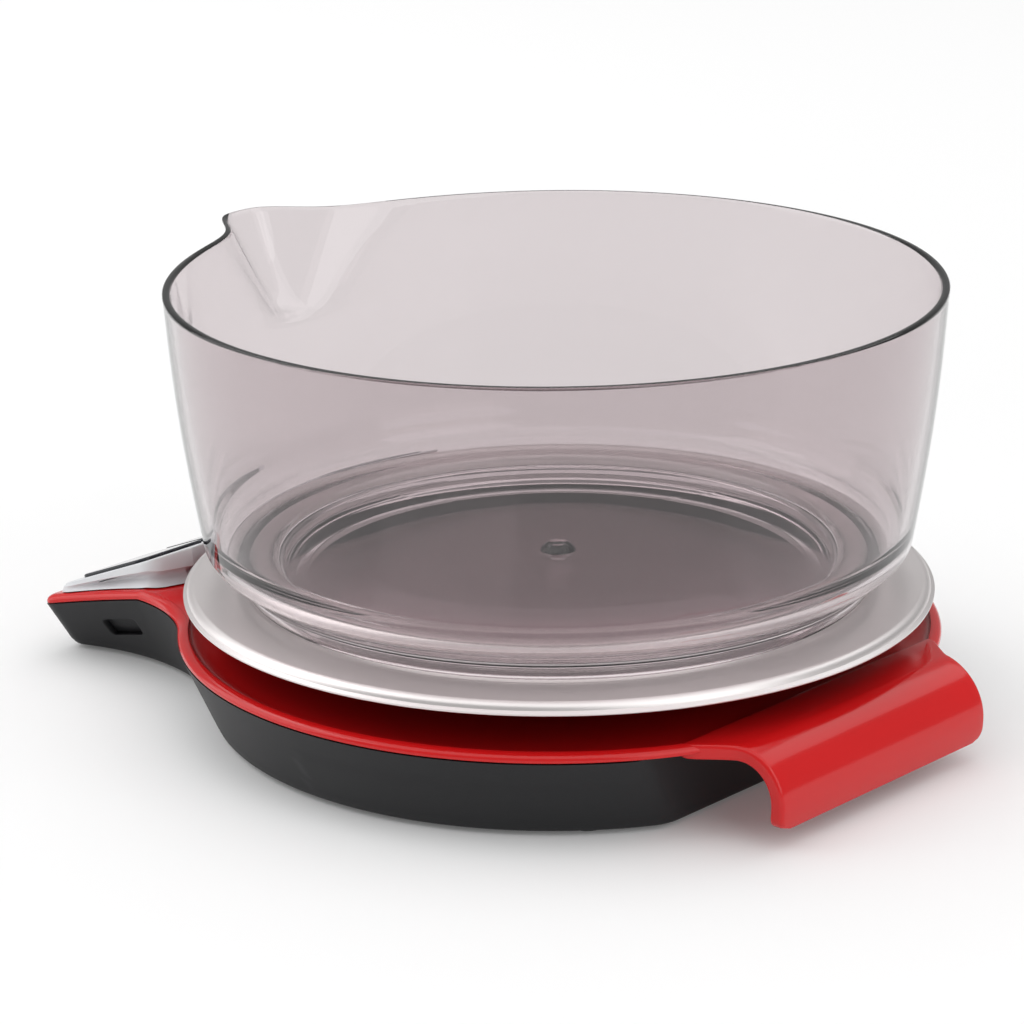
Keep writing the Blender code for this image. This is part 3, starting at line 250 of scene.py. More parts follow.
def rounded_box(x, y, radius, count=8):
    """Anticlockwise rounded rectangle between the low and high x and y."""
    spots = ((x[1], y[1], 0), (x[0], y[1], 90), (x[0], y[0], 180), (x[1], y[0], 270))
    corners = []
    for cx, cy, start in spots:
        sx = math.copysign(radius, cx - (x[0] + x[1]) / 2)
        sy = math.copysign(radius, cy - (y[0] + y[1]) / 2)
        corners.append(arc((cx - sx, cy - sy), radius, start, start + 90, count))
    return np.concatenate(corners)


# Outlines of the housing


def seam_height(y):
    """Height of the seam: level, then falling in proportion along the console."""
    return SEAM - SEAM_SLOPE * np.maximum(0.0, -np.asarray(y) - SEAM_BREAK)


def band_top(y):
    """Height of the band's top."""
    return seam_height(y) + BAND_HEIGHT


def console_edge(waist_half, tip_half, tip_reach, waist_reach, corner):
    """Right-hand edge of the console: a hollow flare arc, the corner arc tangent to it, and half
    of the straight front."""
    flare = tip_half - waist_half
    length = tip_reach - corner - waist_reach
    radius = ((corner - flare) ** 2 + length**2 - corner**2) / (2 * flare)
    lean = math.degrees(math.asin(length / (radius + corner)))
    side = arc((waist_half + radius, -waist_reach), radius, 180, 180 + lean, FLARE_POINTS)
    front = arc((tip_half - corner, corner - tip_reach), corner, lean, -90, 16)
    return joined(side, front, run((tip_half - corner, -tip_reach), (0.0, -tip_reach), 24))


def body_edge(radius, waist_half, tip_half, tip_reach, fillet, corner, flat=None):
    """Right half of the housing's outline, handle side first: the body's arc, cut flat where flat
    is given, the hollow fillet, and the console's edge."""
    waist_reach = math.sqrt((radius + fillet) ** 2 - (waist_half + fillet) ** 2)
    turn = math.degrees(math.atan2(-waist_reach, waist_half + fillet))
    start = 90.0
    runs = []
    if flat is not None:
        flat_x = math.sqrt((radius - PAN_CORNER) ** 2 - (flat - PAN_CORNER) ** 2)
        start = math.degrees(math.atan2(flat - PAN_CORNER, flat_x))
        runs.append(run((0.0, flat), (flat_x, flat), 10))
        runs.append(arc((flat_x, flat - PAN_CORNER), PAN_CORNER, 90, start, 10))
    runs.append(arc((0.0, 0.0), radius, start, turn, BODY_POINTS))
    runs.append(arc((waist_half + fillet, -waist_reach), fillet, 180 + turn, 180, FILLET_POINTS))
    runs.append(console_edge(waist_half, tip_half, tip_reach, waist_reach, corner))
    return joined(*runs)


def lid_edge(inset):
    """Right half of the red shell's outline, moved inwards."""
    return body_edge(
        BODY_RADIUS - inset,
        WAIST_HALF - inset,
        TIP_HALF - inset,
        CONSOLE_REACH - inset,
        FILLET + inset,
        max(CORNER - inset, LEAST_CORNER),
    )


def pan_edge(share, inset):
    """Right half of the base pan's outline at a share of its height, moved inwards."""
    lean = 1.0 - share
    return body_edge(
        BODY_RADIUS - PAN_DRAFT * lean - inset,
        WAIST_HALF - (PAN_DRAFT + GAP) * lean - inset,
        TIP_HALF - TIP_DRAFT_SIDE * lean - inset,
        CONSOLE_REACH - TIP_DRAFT_FRONT * lean - inset,
        BOTTOM_FILLET + (FILLET - BOTTOM_FILLET) * share + inset,
        max(CORNER - inset, LEAST_CORNER),
        PAN_FLAT - PAN_FLAT_DRAFT * lean - inset,
    )


# Meshes


def quads(rows, columns, start=0, loop_rows=False, loop_columns=False):
    """Quads between neighbouring points of a grid; a loop joins its last line to its first."""
    i = np.arange(rows if loop_rows else rows - 1)
    j = np.arange(columns if loop_columns else columns - 1)
    i, j = np.meshgrid(i, j, indexing="ij")
    below, beside = (i + 1) % rows, (j + 1) % columns
    corners = (i * columns + j, i * columns + beside, below * columns + beside, below * columns + j)
    return start + np.stack(corners, axis=-1).reshape(-1, 4)


def grid_part(points, loop_rows=False, loop_columns=False):
    """(points, faces) of a grid of points, rows by columns."""
    rows, columns, _ = points.shape
    faces = quads(rows, columns, 0, loop_rows, loop_columns).tolist()
    return points.reshape(-1, 3), faces


def cap_part(outline):
    """(points, faces) of one face over a closed outline."""
    return outline, [list(range(len(outline)))]


def section_cap(points, flat):
    """(points, faces) closing the end of a swept section, cut into triangles in the section's own
    plane, so that it follows an end that isn't flat."""
    loop = [Vector((x, y, 0.0)) for x, y in flat]
    return points, [list(face) for face in tessellate_polygon([loop])]


def prism_parts(low, high):
    """Parts of a closed prism between two outlines of the same number of points."""
    return [grid_part(np.array([low, high]), False, True), cap_part(low), cap_part(high)]


def closed_mesh(name, parts):
    """One mesh from parts that meet edge to edge: doubles merged, faces turned outwards."""
    points, faces = [], []
    start = 0
    for part_points, part_faces in parts:
        points.append(part_points)
        faces += [[index + start for index in face] for face in part_faces]
        start += len(part_points)
    places = (np.concatenate(points) + (0.0, AXIS_Y, 0.0)) * MM
    mesh = bpy.data.meshes.new(name)
    mesh.from_pydata(places.tolist(), [], faces)
    shape = bmesh.new()
    shape.from_mesh(mesh)
    bmesh.ops.remove_doubles(shape, verts=shape.verts, dist=2e-6)
    bmesh.ops.dissolve_degenerate(shape, edges=shape.edges, dist=1e-6)
    bmesh.ops.recalc_face_normals(shape, faces=shape.faces)
    shape.to_mesh(mesh)
    shape.free()
    return mesh


def carved(mesh, cutters):
    """The closed mesh less closed cutters, by exact Booleans."""
    scene = bpy.context.scene.collection.objects
    blank, *tools = [bpy.data.objects.new(each.name, each) for each in (mesh, *cutters)]
    for obj in (blank, *tools):
        scene.link(obj)
    for tool in tools:
        cut = blank.modifiers.new("cut", "BOOLEAN")
        cut.operation, cut.solver, cut.object = "DIFFERENCE", "EXACT", tool
    graph = bpy.context.evaluated_depsgraph_get()
    left = bpy.data.meshes.new_from_object(blank.evaluated_get(graph))
    for obj in (blank, *tools):
        used = obj.data
        bpy.data.objects.remove(obj)
        bpy.data.meshes.remove(used)
    return left


def place_piece(name, mesh, finish, body, stands_for, slot, sharp=38):
    """A piece of the mesh, with edges sharper than the angle kept sharp. It rides on body and
    replaces the CAD node it stands for."""
    mesh.name = name
    mesh.materials.clear()
    mesh.materials.append(finish)
    mesh.shade_smooth()
    mesh.set_sharp_from_angle(angle=math.radians(sharp))
    obj = bpy.data.objects.new(name, mesh)
    bpy.context.scene.collection.objects.link(obj)
    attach(obj, body)
    if stands_for:
        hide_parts(stands_for)


def build(name, parts, finish, body, stands_for, slot, sharp=38):
    """A closed piece from parts that meet edge to edge."""
    place_piece(name, closed_mesh(name, parts), finish, body, stands_for, slot, sharp)


# Finishes


def socket(group, name, kind, way, value=None):
    """A named input or output of a node group."""
    made = group.interface.new_socket(name=name, in_out=way, socket_type=kind)
    if value is not None:
        made.default_value = value
    return made


def node(tree, kind, **settings):
    """A new node with its settings."""
    made = tree.nodes.new(kind)
    for key, value in settings.items():
        setattr(made, key, value)
    return made


SKIN_VALUES = {"Roughness": 0.4, "Scale": 30.0, "Drift": 0.1, "Grain Scale": 1500.0}


def object_noise(tree, place, detail, scale):
    """A noise on Object coordinates whose scale comes from another socket."""
    made = node(tree, "ShaderNodeTexNoise")
    made.inputs["Detail"].default_value = detail
    tree.links.new(place.outputs["Object"], made.inputs["Vector"])
    tree.links.new(scale, made.inputs["Scale"])
    return made.outputs["Fac"]


def make_skin_group():
    """Slow drift of colour and roughness over a surface, by 1 + Drift * (2 * noise - 1), and a
    fine grain for its height."""
    group = bpy.data.node_groups.new("moulded_skin", "ShaderNodeTree")
    socket(group, "Color", "NodeSocketColor", "INPUT", (0.5, 0.5, 0.5, 1.0))
    for name, value in SKIN_VALUES.items():
        socket(group, name, "NodeSocketFloat", "INPUT", value)
    socket(group, "Color", "NodeSocketColor", "OUTPUT")
    socket(group, "Roughness", "NodeSocketFloat", "OUTPUT")
    socket(group, "Grain", "NodeSocketFloat", "OUTPUT")
    inside = node(group, "NodeGroupInput")
    outside = node(group, "NodeGroupOutput")
    place = node(group, "ShaderNodeTexCoord")
    link = group.links.new
    swing = node(group, "ShaderNodeMapRange")
    swing.inputs["To Min"].default_value = -1.0
    swing.inputs["To Max"].default_value = 1.0
    link(object_noise(group, place, 3.0, inside.outputs["Scale"]), swing.inputs["Value"])
    factor = node(group, "ShaderNodeMath", operation="MULTIPLY_ADD")
    factor.inputs[2].default_value = 1.0
    link(swing.outputs["Result"], factor.inputs[0])
    link(inside.outputs["Drift"], factor.inputs[1])
    tone = node(group, "ShaderNodeVectorMath", operation="SCALE")
    link(inside.outputs["Color"], tone.inputs[0])
    link(factor.outputs[0], tone.inputs["Scale"])
    link(tone.outputs[0], outside.inputs["Color"])
    rough = node(group, "ShaderNodeMath", operation="MULTIPLY")
    link(inside.outputs["Roughness"], rough.inputs[0])
    link(factor.outputs[0], rough.inputs[1])
    link(rough.outputs[0], outside.inputs["Roughness"])
    fine = object_noise(group, place, 2.0, inside.outputs["Grain Scale"])
    link(fine, outside.inputs["Grain"])
    return group


SKIN = make_skin_group()


def finish(name, colour, roughness, metallic=0.0, drift=0.06, scale=25.0, grain=1500.0, bump=0.0):
    """A material whose colour and roughness drift a little, with a grain of that bump height."""
    made = bpy.data.materials.new(name)
    made.use_nodes = True
    tree = made.node_tree
    shader = tree.nodes["Principled BSDF"]
    shader.inputs["Metallic"].default_value = metallic
    skin = node(tree, "ShaderNodeGroup", node_tree=SKIN)
    skin.inputs["Color"].default_value = (*colour, 1.0)
    skin.inputs["Roughness"].default_value = roughness
    skin.inputs["Scale"].default_value = scale
    skin.inputs["Drift"].default_value = drift
    skin.inputs["Grain Scale"].default_value = grain
    link = tree.links.new
    link(skin.outputs["Color"], shader.inputs["Base Color"])
    link(skin.outputs["Roughness"], shader.inputs["Roughness"])
    if bump:
        height = node(tree, "ShaderNodeBump")
        height.inputs["Strength"].default_value = 1.0
        height.inputs["Distance"].default_value = bump
        link(skin.outputs["Grain"], height.inputs["Height"])
        link(height.outputs["Normal"], shader.inputs["Normal"])
    return made


def red_gloss():
    """Polished red moulding under a hard clear gloss."""
    made = finish("red_gloss", (0.60, 0.008, 0.009), 0.16, drift=0.05, grain=900.0, bump=2e-6)
    shader = made.node_tree.nodes["Principled BSDF"]
    shader.inputs["Specular IOR Level"].default_value = 0.34
    shader.inputs["Coat Weight"].default_value = 0.12
    shader.inputs["Coat Roughness"].default_value = 0.05
    return made


def black_pan():
    """Spark-eroded black moulding: a fine even texture that spreads its highlights."""
    made = finish("black_pan", (0.0095, 0.0095, 0.011), 0.5, drift=0.08, grain=2600.0, bump=2.5e-5)
    made.node_tree.nodes["Principled BSDF"].inputs["Specular IOR Level"].default_value = 0.36
    return made


def silver_paint():
    """Silver-grey paint with a fine grain."""
    return finish("silver_paint", (0.68, 0.69, 0.71), 0.42, drift=0.04, grain=5200.0, bump=3e-6)


def dark_window(name="dark_window"):
    """Dark glossy plastic with a faint waviness."""
    return finish(name, (0.012, 0.014, 0.020), 0.06, drift=0.10, grain=400.0, bump=1e-6)


def display_window():
    """Dark gloss with the slightly lighter field of the display under it. The field is a box in x
    and y, with soft edges."""
    made = dark_window("display_window")
    tree = made.node_tree
    link = tree.links.new
    shader = tree.nodes["Principled BSDF"]
    skin = next(n for n in tree.nodes if n.bl_idname == "ShaderNodeGroup")
    place = node(tree, "ShaderNodeTexCoord")
    parts = node(tree, "ShaderNodeSeparateXYZ")
    link(place.outputs["Object"], parts.inputs[0])
    masks = []
    middle_y = (AXIS_Y - CONSOLE_MIDDLE) * MM
    half_x, half_y = DISPLAY_FIELD
    for output, centre, half in (("X", 0.0, half_x * MM), ("Y", middle_y, half_y * MM)):
        off = node(tree, "ShaderNodeMath", operation="SUBTRACT")
        off.inputs[1].default_value = centre
        link(parts.outputs[output], off.inputs[0])
        far = node(tree, "ShaderNodeMath", operation="ABSOLUTE")
        link(off.outputs[0], far.inputs[0])
        edge = node(tree, "ShaderNodeMapRange")
        edge.inputs["From Min"].default_value = half
        edge.inputs["From Max"].default_value = half - 0.2 * MM
        link(far.outputs[0], edge.inputs["Value"])
        masks.append(edge)
    both = node(tree, "ShaderNodeMath", operation="MULTIPLY")
    link(masks[0].outputs["Result"], both.inputs[0])
    link(masks[1].outputs["Result"], both.inputs[1])
    field = node(tree, "ShaderNodeMix", data_type="RGBA")
    field.inputs["B"].default_value = (0.050, 0.060, 0.062, 1.0)
    link(both.outputs[0], field.inputs["Factor"])
    link(skin.outputs["Color"], field.inputs["A"])
    link(field.outputs["Result"], shader.inputs["Base Color"])
    return made


def brushed_steel():
    """Steel with fine straight brushing along X: a noise sixty times finer across it than along
    it, in place of the grain."""
    made = finish("brushed_steel", (0.80, 0.76, 0.755), 0.40, 1.0, drift=0.04, scale=18.0)
    tree = made.node_tree
    link = tree.links.new
    shader = tree.nodes["Principled BSDF"]
    place = node(tree, "ShaderNodeTexCoord")
    drawn = node(tree, "ShaderNodeMapping")
    drawn.inputs["Scale"].default_value = (60.0, 3600.0, 3600.0)
    link(place.outputs["Object"], drawn.inputs["Vector"])
    lines = node(tree, "ShaderNodeTexNoise")
    lines.inputs["Scale"].default_value = 1.0
    lines.inputs["Detail"].default_value = 2.0
    link(drawn.outputs["Vector"], lines.inputs["Vector"])
    height = node(tree, "ShaderNodeBump")
    height.inputs["Strength"].default_value = 0.6
    height.inputs["Distance"].default_value = 4e-6
    link(lines.outputs["Fac"], height.inputs["Height"])
    link(height.outputs["Normal"], shader.inputs["Normal"])
    return made


def smoke_clear():
    """Clear plastic with a smoke tint, darker in the floor's disc. Light on its way to a lamp
    passes the walls, so what the bowl stands on stays lit."""
    made = bpy.data.materials.new("smoke_clear")
    made.use_nodes = True
    tree = made.node_tree
    link = tree.links.new
    shader = tree.nodes["Principled BSDF"]
    shader.inputs["Transmission Weight"].default_value = 1.0
    shader.inputs["IOR"].default_value = 1.47
    shader.inputs["Roughness"].default_value = 0.0
    place = node(tree, "ShaderNodeTexCoord")
    centred = node(tree, "ShaderNodeMapping")
    centred.inputs["Location"].default_value = (0.0, -AXIS_Y * MM, 0.0)
    link(place.outputs["Object"], centred.inputs["Vector"])
    parts = node(tree, "ShaderNodeSeparateXYZ")
    link(centred.outputs["Vector"], parts.inputs[0])
    flat = node(tree, "ShaderNodeCombineXYZ")
    link(parts.outputs["X"], flat.inputs["X"])
    link(parts.outputs["Y"], flat.inputs["Y"])
    radius = node(tree, "ShaderNodeVectorMath", operation="LENGTH")
    link(flat.outputs[0], radius.inputs[0])
    inside = node(tree, "ShaderNodeMapRange")
    inside.inputs["From Min"].default_value = (FLOOR_RING + 0.4) * MM
    inside.inputs["From Max"].default_value = (FLOOR_RING - 0.4) * MM
    link(radius.outputs["Value"], inside.inputs["Value"])
    tint = node(tree, "ShaderNodeMix", data_type="RGBA")
    tint.inputs["A"].default_value = (0.70, 0.645, 0.655, 1.0)
    tint.inputs["B"].default_value = (0.50, 0.42, 0.44, 1.0)
    link(inside.outputs["Result"], tint.inputs["Factor"])
    link(tint.outputs["Result"], shader.inputs["Base Color"])
    path = node(tree, "ShaderNodeLightPath")
    pass_on = node(tree, "ShaderNodeMath", operation="MULTIPLY_ADD")
    pass_on.inputs[1].default_value = -0.85
    pass_on.inputs[2].default_value = 1.0
    link(path.outputs["Is Shadow Ray"], pass_on.inputs[0])
    link(pass_on.outputs[0], shader.inputs["Alpha"])
    return made


# Pieces of the red shell


def handle_height(y):
    """Height of the handle's outer face: level, then a quarter circle downwards."""
    over = np.clip(np.asarray(y) - CURL_START, 0.0, HANDLE_CURL)
    return LIP_TOP - HANDLE_CURL + np.sqrt(HANDLE_CURL**2 - over**2)


def dish_radius(angle):
    """Radius of the dish's edge at an angle from +Y, in degrees. Near the handle the edge runs
    straight across at HANDLE_START and turns back to the circle through round corners: a soft
    minimum of the straight edge and a rise of the circle."""
    off = np.abs(angle)
    straight = HANDLE_START / np.cos(np.radians(np.minimum(off, 60.0)))
    risen = DISH_EDGE + DISH_RISE * smooth((DISH_RISE_ANGLE - off) / DISH_RISE_SPAN)
    both = np.exp(-DISH_SOFTNESS * straight) + np.exp(-DISH_SOFTNESS * risen)
    soft = -np.log(both) / DISH_SOFTNESS
    return np.where(off < HANDLE_ANGLE, np.minimum(soft, risen), DISH_EDGE)


def dish_height(radius, edge):
    """Height of the tray: flat, then a quarter of an ellipse up to the edge."""
    across = np.clip((radius - (edge - DISH_SLOPE)) / DISH_SLOPE, 0.0, 1.0)
    return DISH_FLOOR + (LIP_TOP - 0.1 - DISH_FLOOR) * (1 - np.sqrt(1 - across**2))


def cover_height(x, y):
    """Height of whichever shows near the handle: the tray inside its edge, the handle outside."""
    radius = np.hypot(x, y)
    edge = dish_radius(np.degrees(np.arctan2(x, y)))
    return np.where(radius < edge, dish_height(radius, edge), handle_height(y))


def band_profile():
    """(inset, height) round the band: rounded foot, upright face, quarter-ellipse shoulder."""
    a = np.radians(np.linspace(0.0, 90.0, 15))
    base = BAND_UPRIGHT + GAP
    shoulder = np.column_stack(
        [LIP_WIDTH * (1 - np.cos(a)), base + (BAND_HEIGHT - BAND_UPRIGHT - GAP) * np.sin(a)]
    )
    centre = (BAND_FOOT_ROUND, GAP + BAND_FOOT_ROUND)
    return np.concatenate([arc(centre, BAND_FOOT_ROUND, 270, 180, 4), shoulder])


def make_band(shell_finish):
    """The rounded band along the seam, swept round the whole outline. Under the handle it sinks
    into the handle's sheet and the tray's."""
    rings = []
    for inset, height in band_profile():
        outline = mirrored(lid_edge(inset))
        rings.append(at_height(outline, seam_height(outline[:, 1]) + height))
    on_console = smooth((-lid_edge(LIP_WIDTH)[:, 1] - SEAM_BREAK) / BAND_BLEND)[:, None]
    shallow, deep = lid_edge(BODY_RADIUS - DISH_EDGE), lid_edge(BAND_INNER)
    inner = mirrored(shallow + (deep - shallow) * on_console)
    for height in (BAND_HEIGHT - 0.05, GAP):
        rings.append(at_height(inner, seam_height(inner[:, 1]) + height))
    points = np.array(rings)
    cover = cover_height(points[..., 0], points[..., 1])
    sunk = np.clip(points[..., 2], cover - BAND_SUNK, cover - 0.15)
    under = smooth((HANDLE_ROOT - np.abs(points[..., 0])) / 4.0) * (points[..., 1] > 0)
    points[..., 2] += (sunk - points[..., 2]) * under
    parts = [grid_part(points, True, True)]
    build("shell_band", parts, shell_finish, "housing", "top_shell", SLOT_RED)


def make_tray(shell_finish):
    """The shallow dish under the platform: a flat annulus round the hub's opening, the slope up to
    the edge, and the same again underneath, as one closed ring."""
    angles = np.linspace(0.0, 360.0, 361)[:-1]
    around = np.column_stack([np.sin(np.radians(angles)), np.cos(np.radians(angles))])
    edge = dish_radius((angles + 180.0) % 360.0 - 180.0)
    hub_low, hub_high = extent("cell_platform_shim")
    opening = around * HUB_OPENING + (0.0, (hub_low[1] + hub_high[1]) / 2 - AXIS_Y)
    flat = around * (edge - DISH_SLOPE)[:, None]
    rows = []
    for share in np.linspace(0.0, 1.0, 8):
        rows.append(at_height(opening + (flat - opening) * share, DISH_FLOOR))
    for share in np.sin(np.radians(np.linspace(5.0, 90.0, 24))):
        radius = edge - DISH_SLOPE * (1 - share)
        x, y = (around * radius[:, None]).T
        top = dish_height(radius, edge)
        limit = np.where(np.abs(x) < HANDLE_ROOT - 1.5, handle_height(y) - 0.05, LIP_TOP)
        height = np.where(y > 0, np.minimum(top, limit), top)
        rows.append(np.column_stack([x, y, height]))
    underside = [row - (0.0, 0.0, SHELL_SHEET) for row in rows[::-1]]
    parts = [grid_part(np.array(rows + underside), True, True)]
    build("shell_tray", parts, shell_finish, "housing", "top_shell", SLOT_RED)


def make_deck(shell_finish):
    """The shell's flat top between the dish and the console's edges, following the seam's fall:
    straight lines from the dish's circle to the edge, mirrored."""
    half = lid_edge(LIP_WIDTH - 0.1)[BODY_POINTS:]
    side = half[half[:, 1] > -WINDOW_REAR][: FILLET_POINTS + FLARE_POINTS]
    corner, middle = (side[-1, 0], -WINDOW_REAR), (0.0, -WINDOW_REAR)
    outer = resampled(joined(side, run(side[-1], corner, 2), run(corner, middle, 8)), DECK_POINTS)
    turn = math.degrees(math.atan2(-SEAM_BREAK, WAIST_HALF + FILLET))
    inner = arc((0.0, 0.0), DISH_EDGE, turn, -90, DECK_POINTS)
    rows = []
    for share in np.linspace(0.0, 1.0, 7):
        half_row = inner + (outer - inner) * share
        row = np.concatenate([half_row, half_row[-2::-1] * (-1, 1)])
        rows.append(at_height(row, band_top(row[:, 1]) - DECK_SINK))
    lower = [row - (0.0, 0.0, DECK_SHEET) for row in rows[::-1]]
    points = np.array(rows + lower)
    parts = [grid_part(points, True, False), cap_part(points[:, 0]), cap_part(points[:, -1])]
    build("shell_deck", parts, shell_finish, "housing", "top_shell", SLOT_RED)


def handle_section(half):
    """(x, depth) round the handle's section: rounded outer edges, a flange down each side with a
    rounded foot, and a hollow in between."""
    outer_round, foot_round, hollow_round = 1.1, 0.6, 0.7
    inner = half - FLANGE_WIDTH
    foot, hollow = FLANGE_DEPTH - foot_round, HANDLE_SHEET + hollow_round
    right = joined(
        run((0.0, 0.0), (half - outer_round, 0.0), 16),
        arc((half - outer_round, outer_round), outer_round, -90, 0, 6),
        run((half, outer_round), (half, foot), 3),
        arc((half - foot_round, foot), foot_round, 0, 90, 4),
        run((half - foot_round, FLANGE_DEPTH), (inner + foot_round, FLANGE_DEPTH), 1),
        arc((inner + foot_round, foot), foot_round, 90, 180, 4),
        run((inner, foot), (inner, hollow), 1),
        arc((inner - hollow_round, hollow), hollow_round, 0, -90, 4),
        run((inner - hollow_round, HANDLE_SHEET), (0.0, HANDLE_SHEET), 12),
    )
    return mirrored(right)


def handle_half(way):
    """Half width of the handle a way along it: it falls from the root to the end as (1 - s)^5 of
    the share s of the whole way."""
    full = HANDLE_LEVEL + CURL_WAY + HANDLE_DROP
    share = np.clip((way - 2.0) / (full - 2.0), 0.0, 1.0)
    return HANDLE_END + (HANDLE_ROOT - HANDLE_END) * (1 - share) ** 5


def handle_start(x):
    """Where the handle leaves the dish's edge: y at each x."""
    angles = np.linspace(-HANDLE_ANGLE, HANDLE_ANGLE, 125)
    edge, turn = dish_radius(angles), np.radians(angles)
    return np.interp(x, edge * np.sin(turn), edge * np.cos(turn))


def level_end(x):
    """Where the handle's level part ends: at the curl's start, or just past the dish's edge."""
    return np.maximum(CURL_START, handle_start(x) + 0.02)


def level_row(share):
    """A section between the dish's edge and the curl, its depth square to the outer face."""
    x, depth = handle_section(handle_half(HANDLE_LEVEL * share)).T
    start = handle_start(x)
    y = start + (level_end(x) - start) * share
    turn = np.arcsin(np.clip(y - CURL_START, 0.0, HANDLE_CURL) / HANDLE_CURL)
    return np.column_stack([x, y - np.sin(turn) * depth, handle_height(y) - np.cos(turn) * depth])


def curl_row(angle):
    """A section round the curl's quarter circle, each point turning on from the level part."""
    x, depth = handle_section(handle_half(HANDLE_LEVEL + HANDLE_CURL * angle)).T
    root_x = handle_section(handle_half(HANDLE_LEVEL))[:, 0]
    over = np.clip(level_end(root_x) - CURL_START, 0.0, HANDLE_CURL)
    first = np.arcsin(over / HANDLE_CURL)
    turn = first + (np.pi / 2 - first) * (angle / (np.pi / 2))
    reach = HANDLE_CURL - depth
    z = LIP_TOP - HANDLE_CURL + reach * np.cos(turn)
    return np.column_stack([x, CURL_START + reach * np.sin(turn), z])


def drop_section(share):
    """The section a share of the way down the hanging edge, narrowed to round its corners."""
    left = (share * HANDLE_DROP - HANDLE_DROP + HANDLE_CORNER) / HANDLE_CORNER
    corner = HANDLE_CORNER * (1 - np.sqrt(1 - np.clip(left, 0, 1) ** 2))
    return handle_section(handle_half(HANDLE_LEVEL + CURL_WAY + HANDLE_DROP * share) - corner)


def drop_row(share):
    """That section in its place, drawn in towards the foot as the square of the share."""
    x, depth = drop_section(share).T
    z = np.full(len(x), LIP_TOP - HANDLE_CURL - HANDLE_DROP * share)
    return np.column_stack([x, HANDLE_REACH - HANDLE_DRAWN * share**2 - depth, z])


def make_handle(shell_finish):
    """The curled handle: its section carried along a path that is level from the dish's edge,
    turns down through a quarter circle, and ends with its edge drawn in."""
    rows = [level_row(share) for share in np.linspace(0.0, 1.0, 9)]
    rows += [curl_row(angle) for angle in np.radians(np.linspace(0.0, 90.0, 25))[1:]]
    rows += [drop_row(share) for share in np.linspace(0.0, 1.0, 9)[1:]]
    root = section_cap(rows[0], handle_section(HANDLE_ROOT))
    end = section_cap(rows[-1], drop_section(1.0))
    parts = [grid_part(np.array(rows), False, True), root, end]
    build("shell_handle", parts, shell_finish, "housing", "top_shell", SLOT_RED)


# Base pan


def pan_wall_points(share, inset):
    """A ring of the pan's wall at a share of its height. Where the flat side runs under the dish,
    the wall ends below the tray."""
    outline = mirrored(pan_edge(share, inset))
    radius = np.hypot(outline[:, 0], outline[:, 1])
    tray = dish_height(np.minimum(radius, DISH_EDGE), DISH_EDGE) - SHELL_SHEET - GAP
    seam = seam_height(outline[:, 1])
    top = np.where(outline[:, 1] > 0, np.minimum(seam, tray), seam)
    return at_height(outline, PAN_BOTTOM + (top - PAN_BOTTOM) * share)


def port_outline(count):
    """The port's rounded slot in the plane of the wall: (y, z), turned to follow the seam."""
    half_w, half_h = PORT_WIDTH / 2, PORT_OPENING / 2
    box = rounded_box((-half_w, half_w), (-half_h, half_h), PORT_CORNER)
    slot = resampled(np.concatenate([box, box[:1]]), count)[:-1]
    c, s = math.cos(PORT_SLOPE), math.sin(PORT_SLOPE)
    y = slot[:, 0] * c - slot[:, 1] * s - PORT_REACH
    z = slot[:, 0] * s + slot[:, 1] * c + PORT_HEIGHT
    return np.column_stack([y, z])


def pan_bottom():
    """Rings round the pan's bottom edge, rounded by a quarter circle."""
    rings = []
    for a in np.radians(np.linspace(90.0, 0.0, 7))[:-1]:
        rise, inset = PAN_ROUND * (1 - math.sin(a)), PAN_ROUND * (1 - math.cos(a))
        rings.append(at_height(mirrored(pan_edge(rise / SEAM, inset)), PAN_BOTTOM + rise))
    return rings


def pan_walls():
    """Rings of the pan's outer side from the bottom up, and of its inner side from the top down."""
    outer = [pan_wall_points(share, 0.0) for share in np.linspace(0.0, 1.0, 29)]
    outer = [ring for ring in outer if ring[:, 2].min() > PAN_BOTTOM + PAN_ROUND]
    inner = [pan_wall_points(share, WALL) for share in np.linspace(1.0, 0.14, 10)]
    inner.append(at_height(inner[-1][:, :2], PAN_BOTTOM + WALL))
    return np.array(pan_bottom() + outer), np.array(inner)


def cut_for_port(wall):
    """The wall's faces without a patch round the port, and that patch's points."""
    near = np.abs(wall[:, :, 1] + PORT_REACH) < PORT_WIDTH / 2 + PORT_MARGIN_Y
    tall = np.abs(wall[:, :, 2] - PORT_HEIGHT) < PORT_OPENING / 2 + PORT_MARGIN_Z
    found = (wall[:, :, 0] > 0) & near & tall
    rows, columns = np.nonzero(found.any(axis=1))[0], np.nonzero(found.any(axis=0))[0]
    r0, r1, c0, c1 = rows[0], rows[-1], columns[0], columns[-1]
    faces = quads(len(wall), wall.shape[1], 0, False, True)
    row, column = faces[:, 0] // wall.shape[1], faces[:, 0] % wall.shape[1]
    cut = (row >= r0) & (row < r1) & (column >= c0) & (column < c1)
    return faces[~cut].tolist(), wall[r0 : r1 + 1, c0 : c1 + 1]


def cubic_terms(y, z):
    """Powers of the distances from the port's middle, up to the third degree in all."""
    v, w = y + PORT_REACH, z - PORT_HEIGHT
    return np.column_stack([v**i * w**j for i in range(4) for j in range(4 - i)])


def slot_towards(edge, centre):
    """The slot's points that lie in the same directions from its middle as the edge's points."""
    slot = port_outline(240)
    slot_angle = np.arctan2(*(slot - centre).T[::-1])
    edge_angle = np.arctan2(*(edge - centre).T[::-1])
    order = np.argsort(slot_angle)
    known, slot = slot_angle[order], slot[order]
    return [np.interp(edge_angle, known, slot[:, k], period=2 * np.pi) for k in (0, 1)]


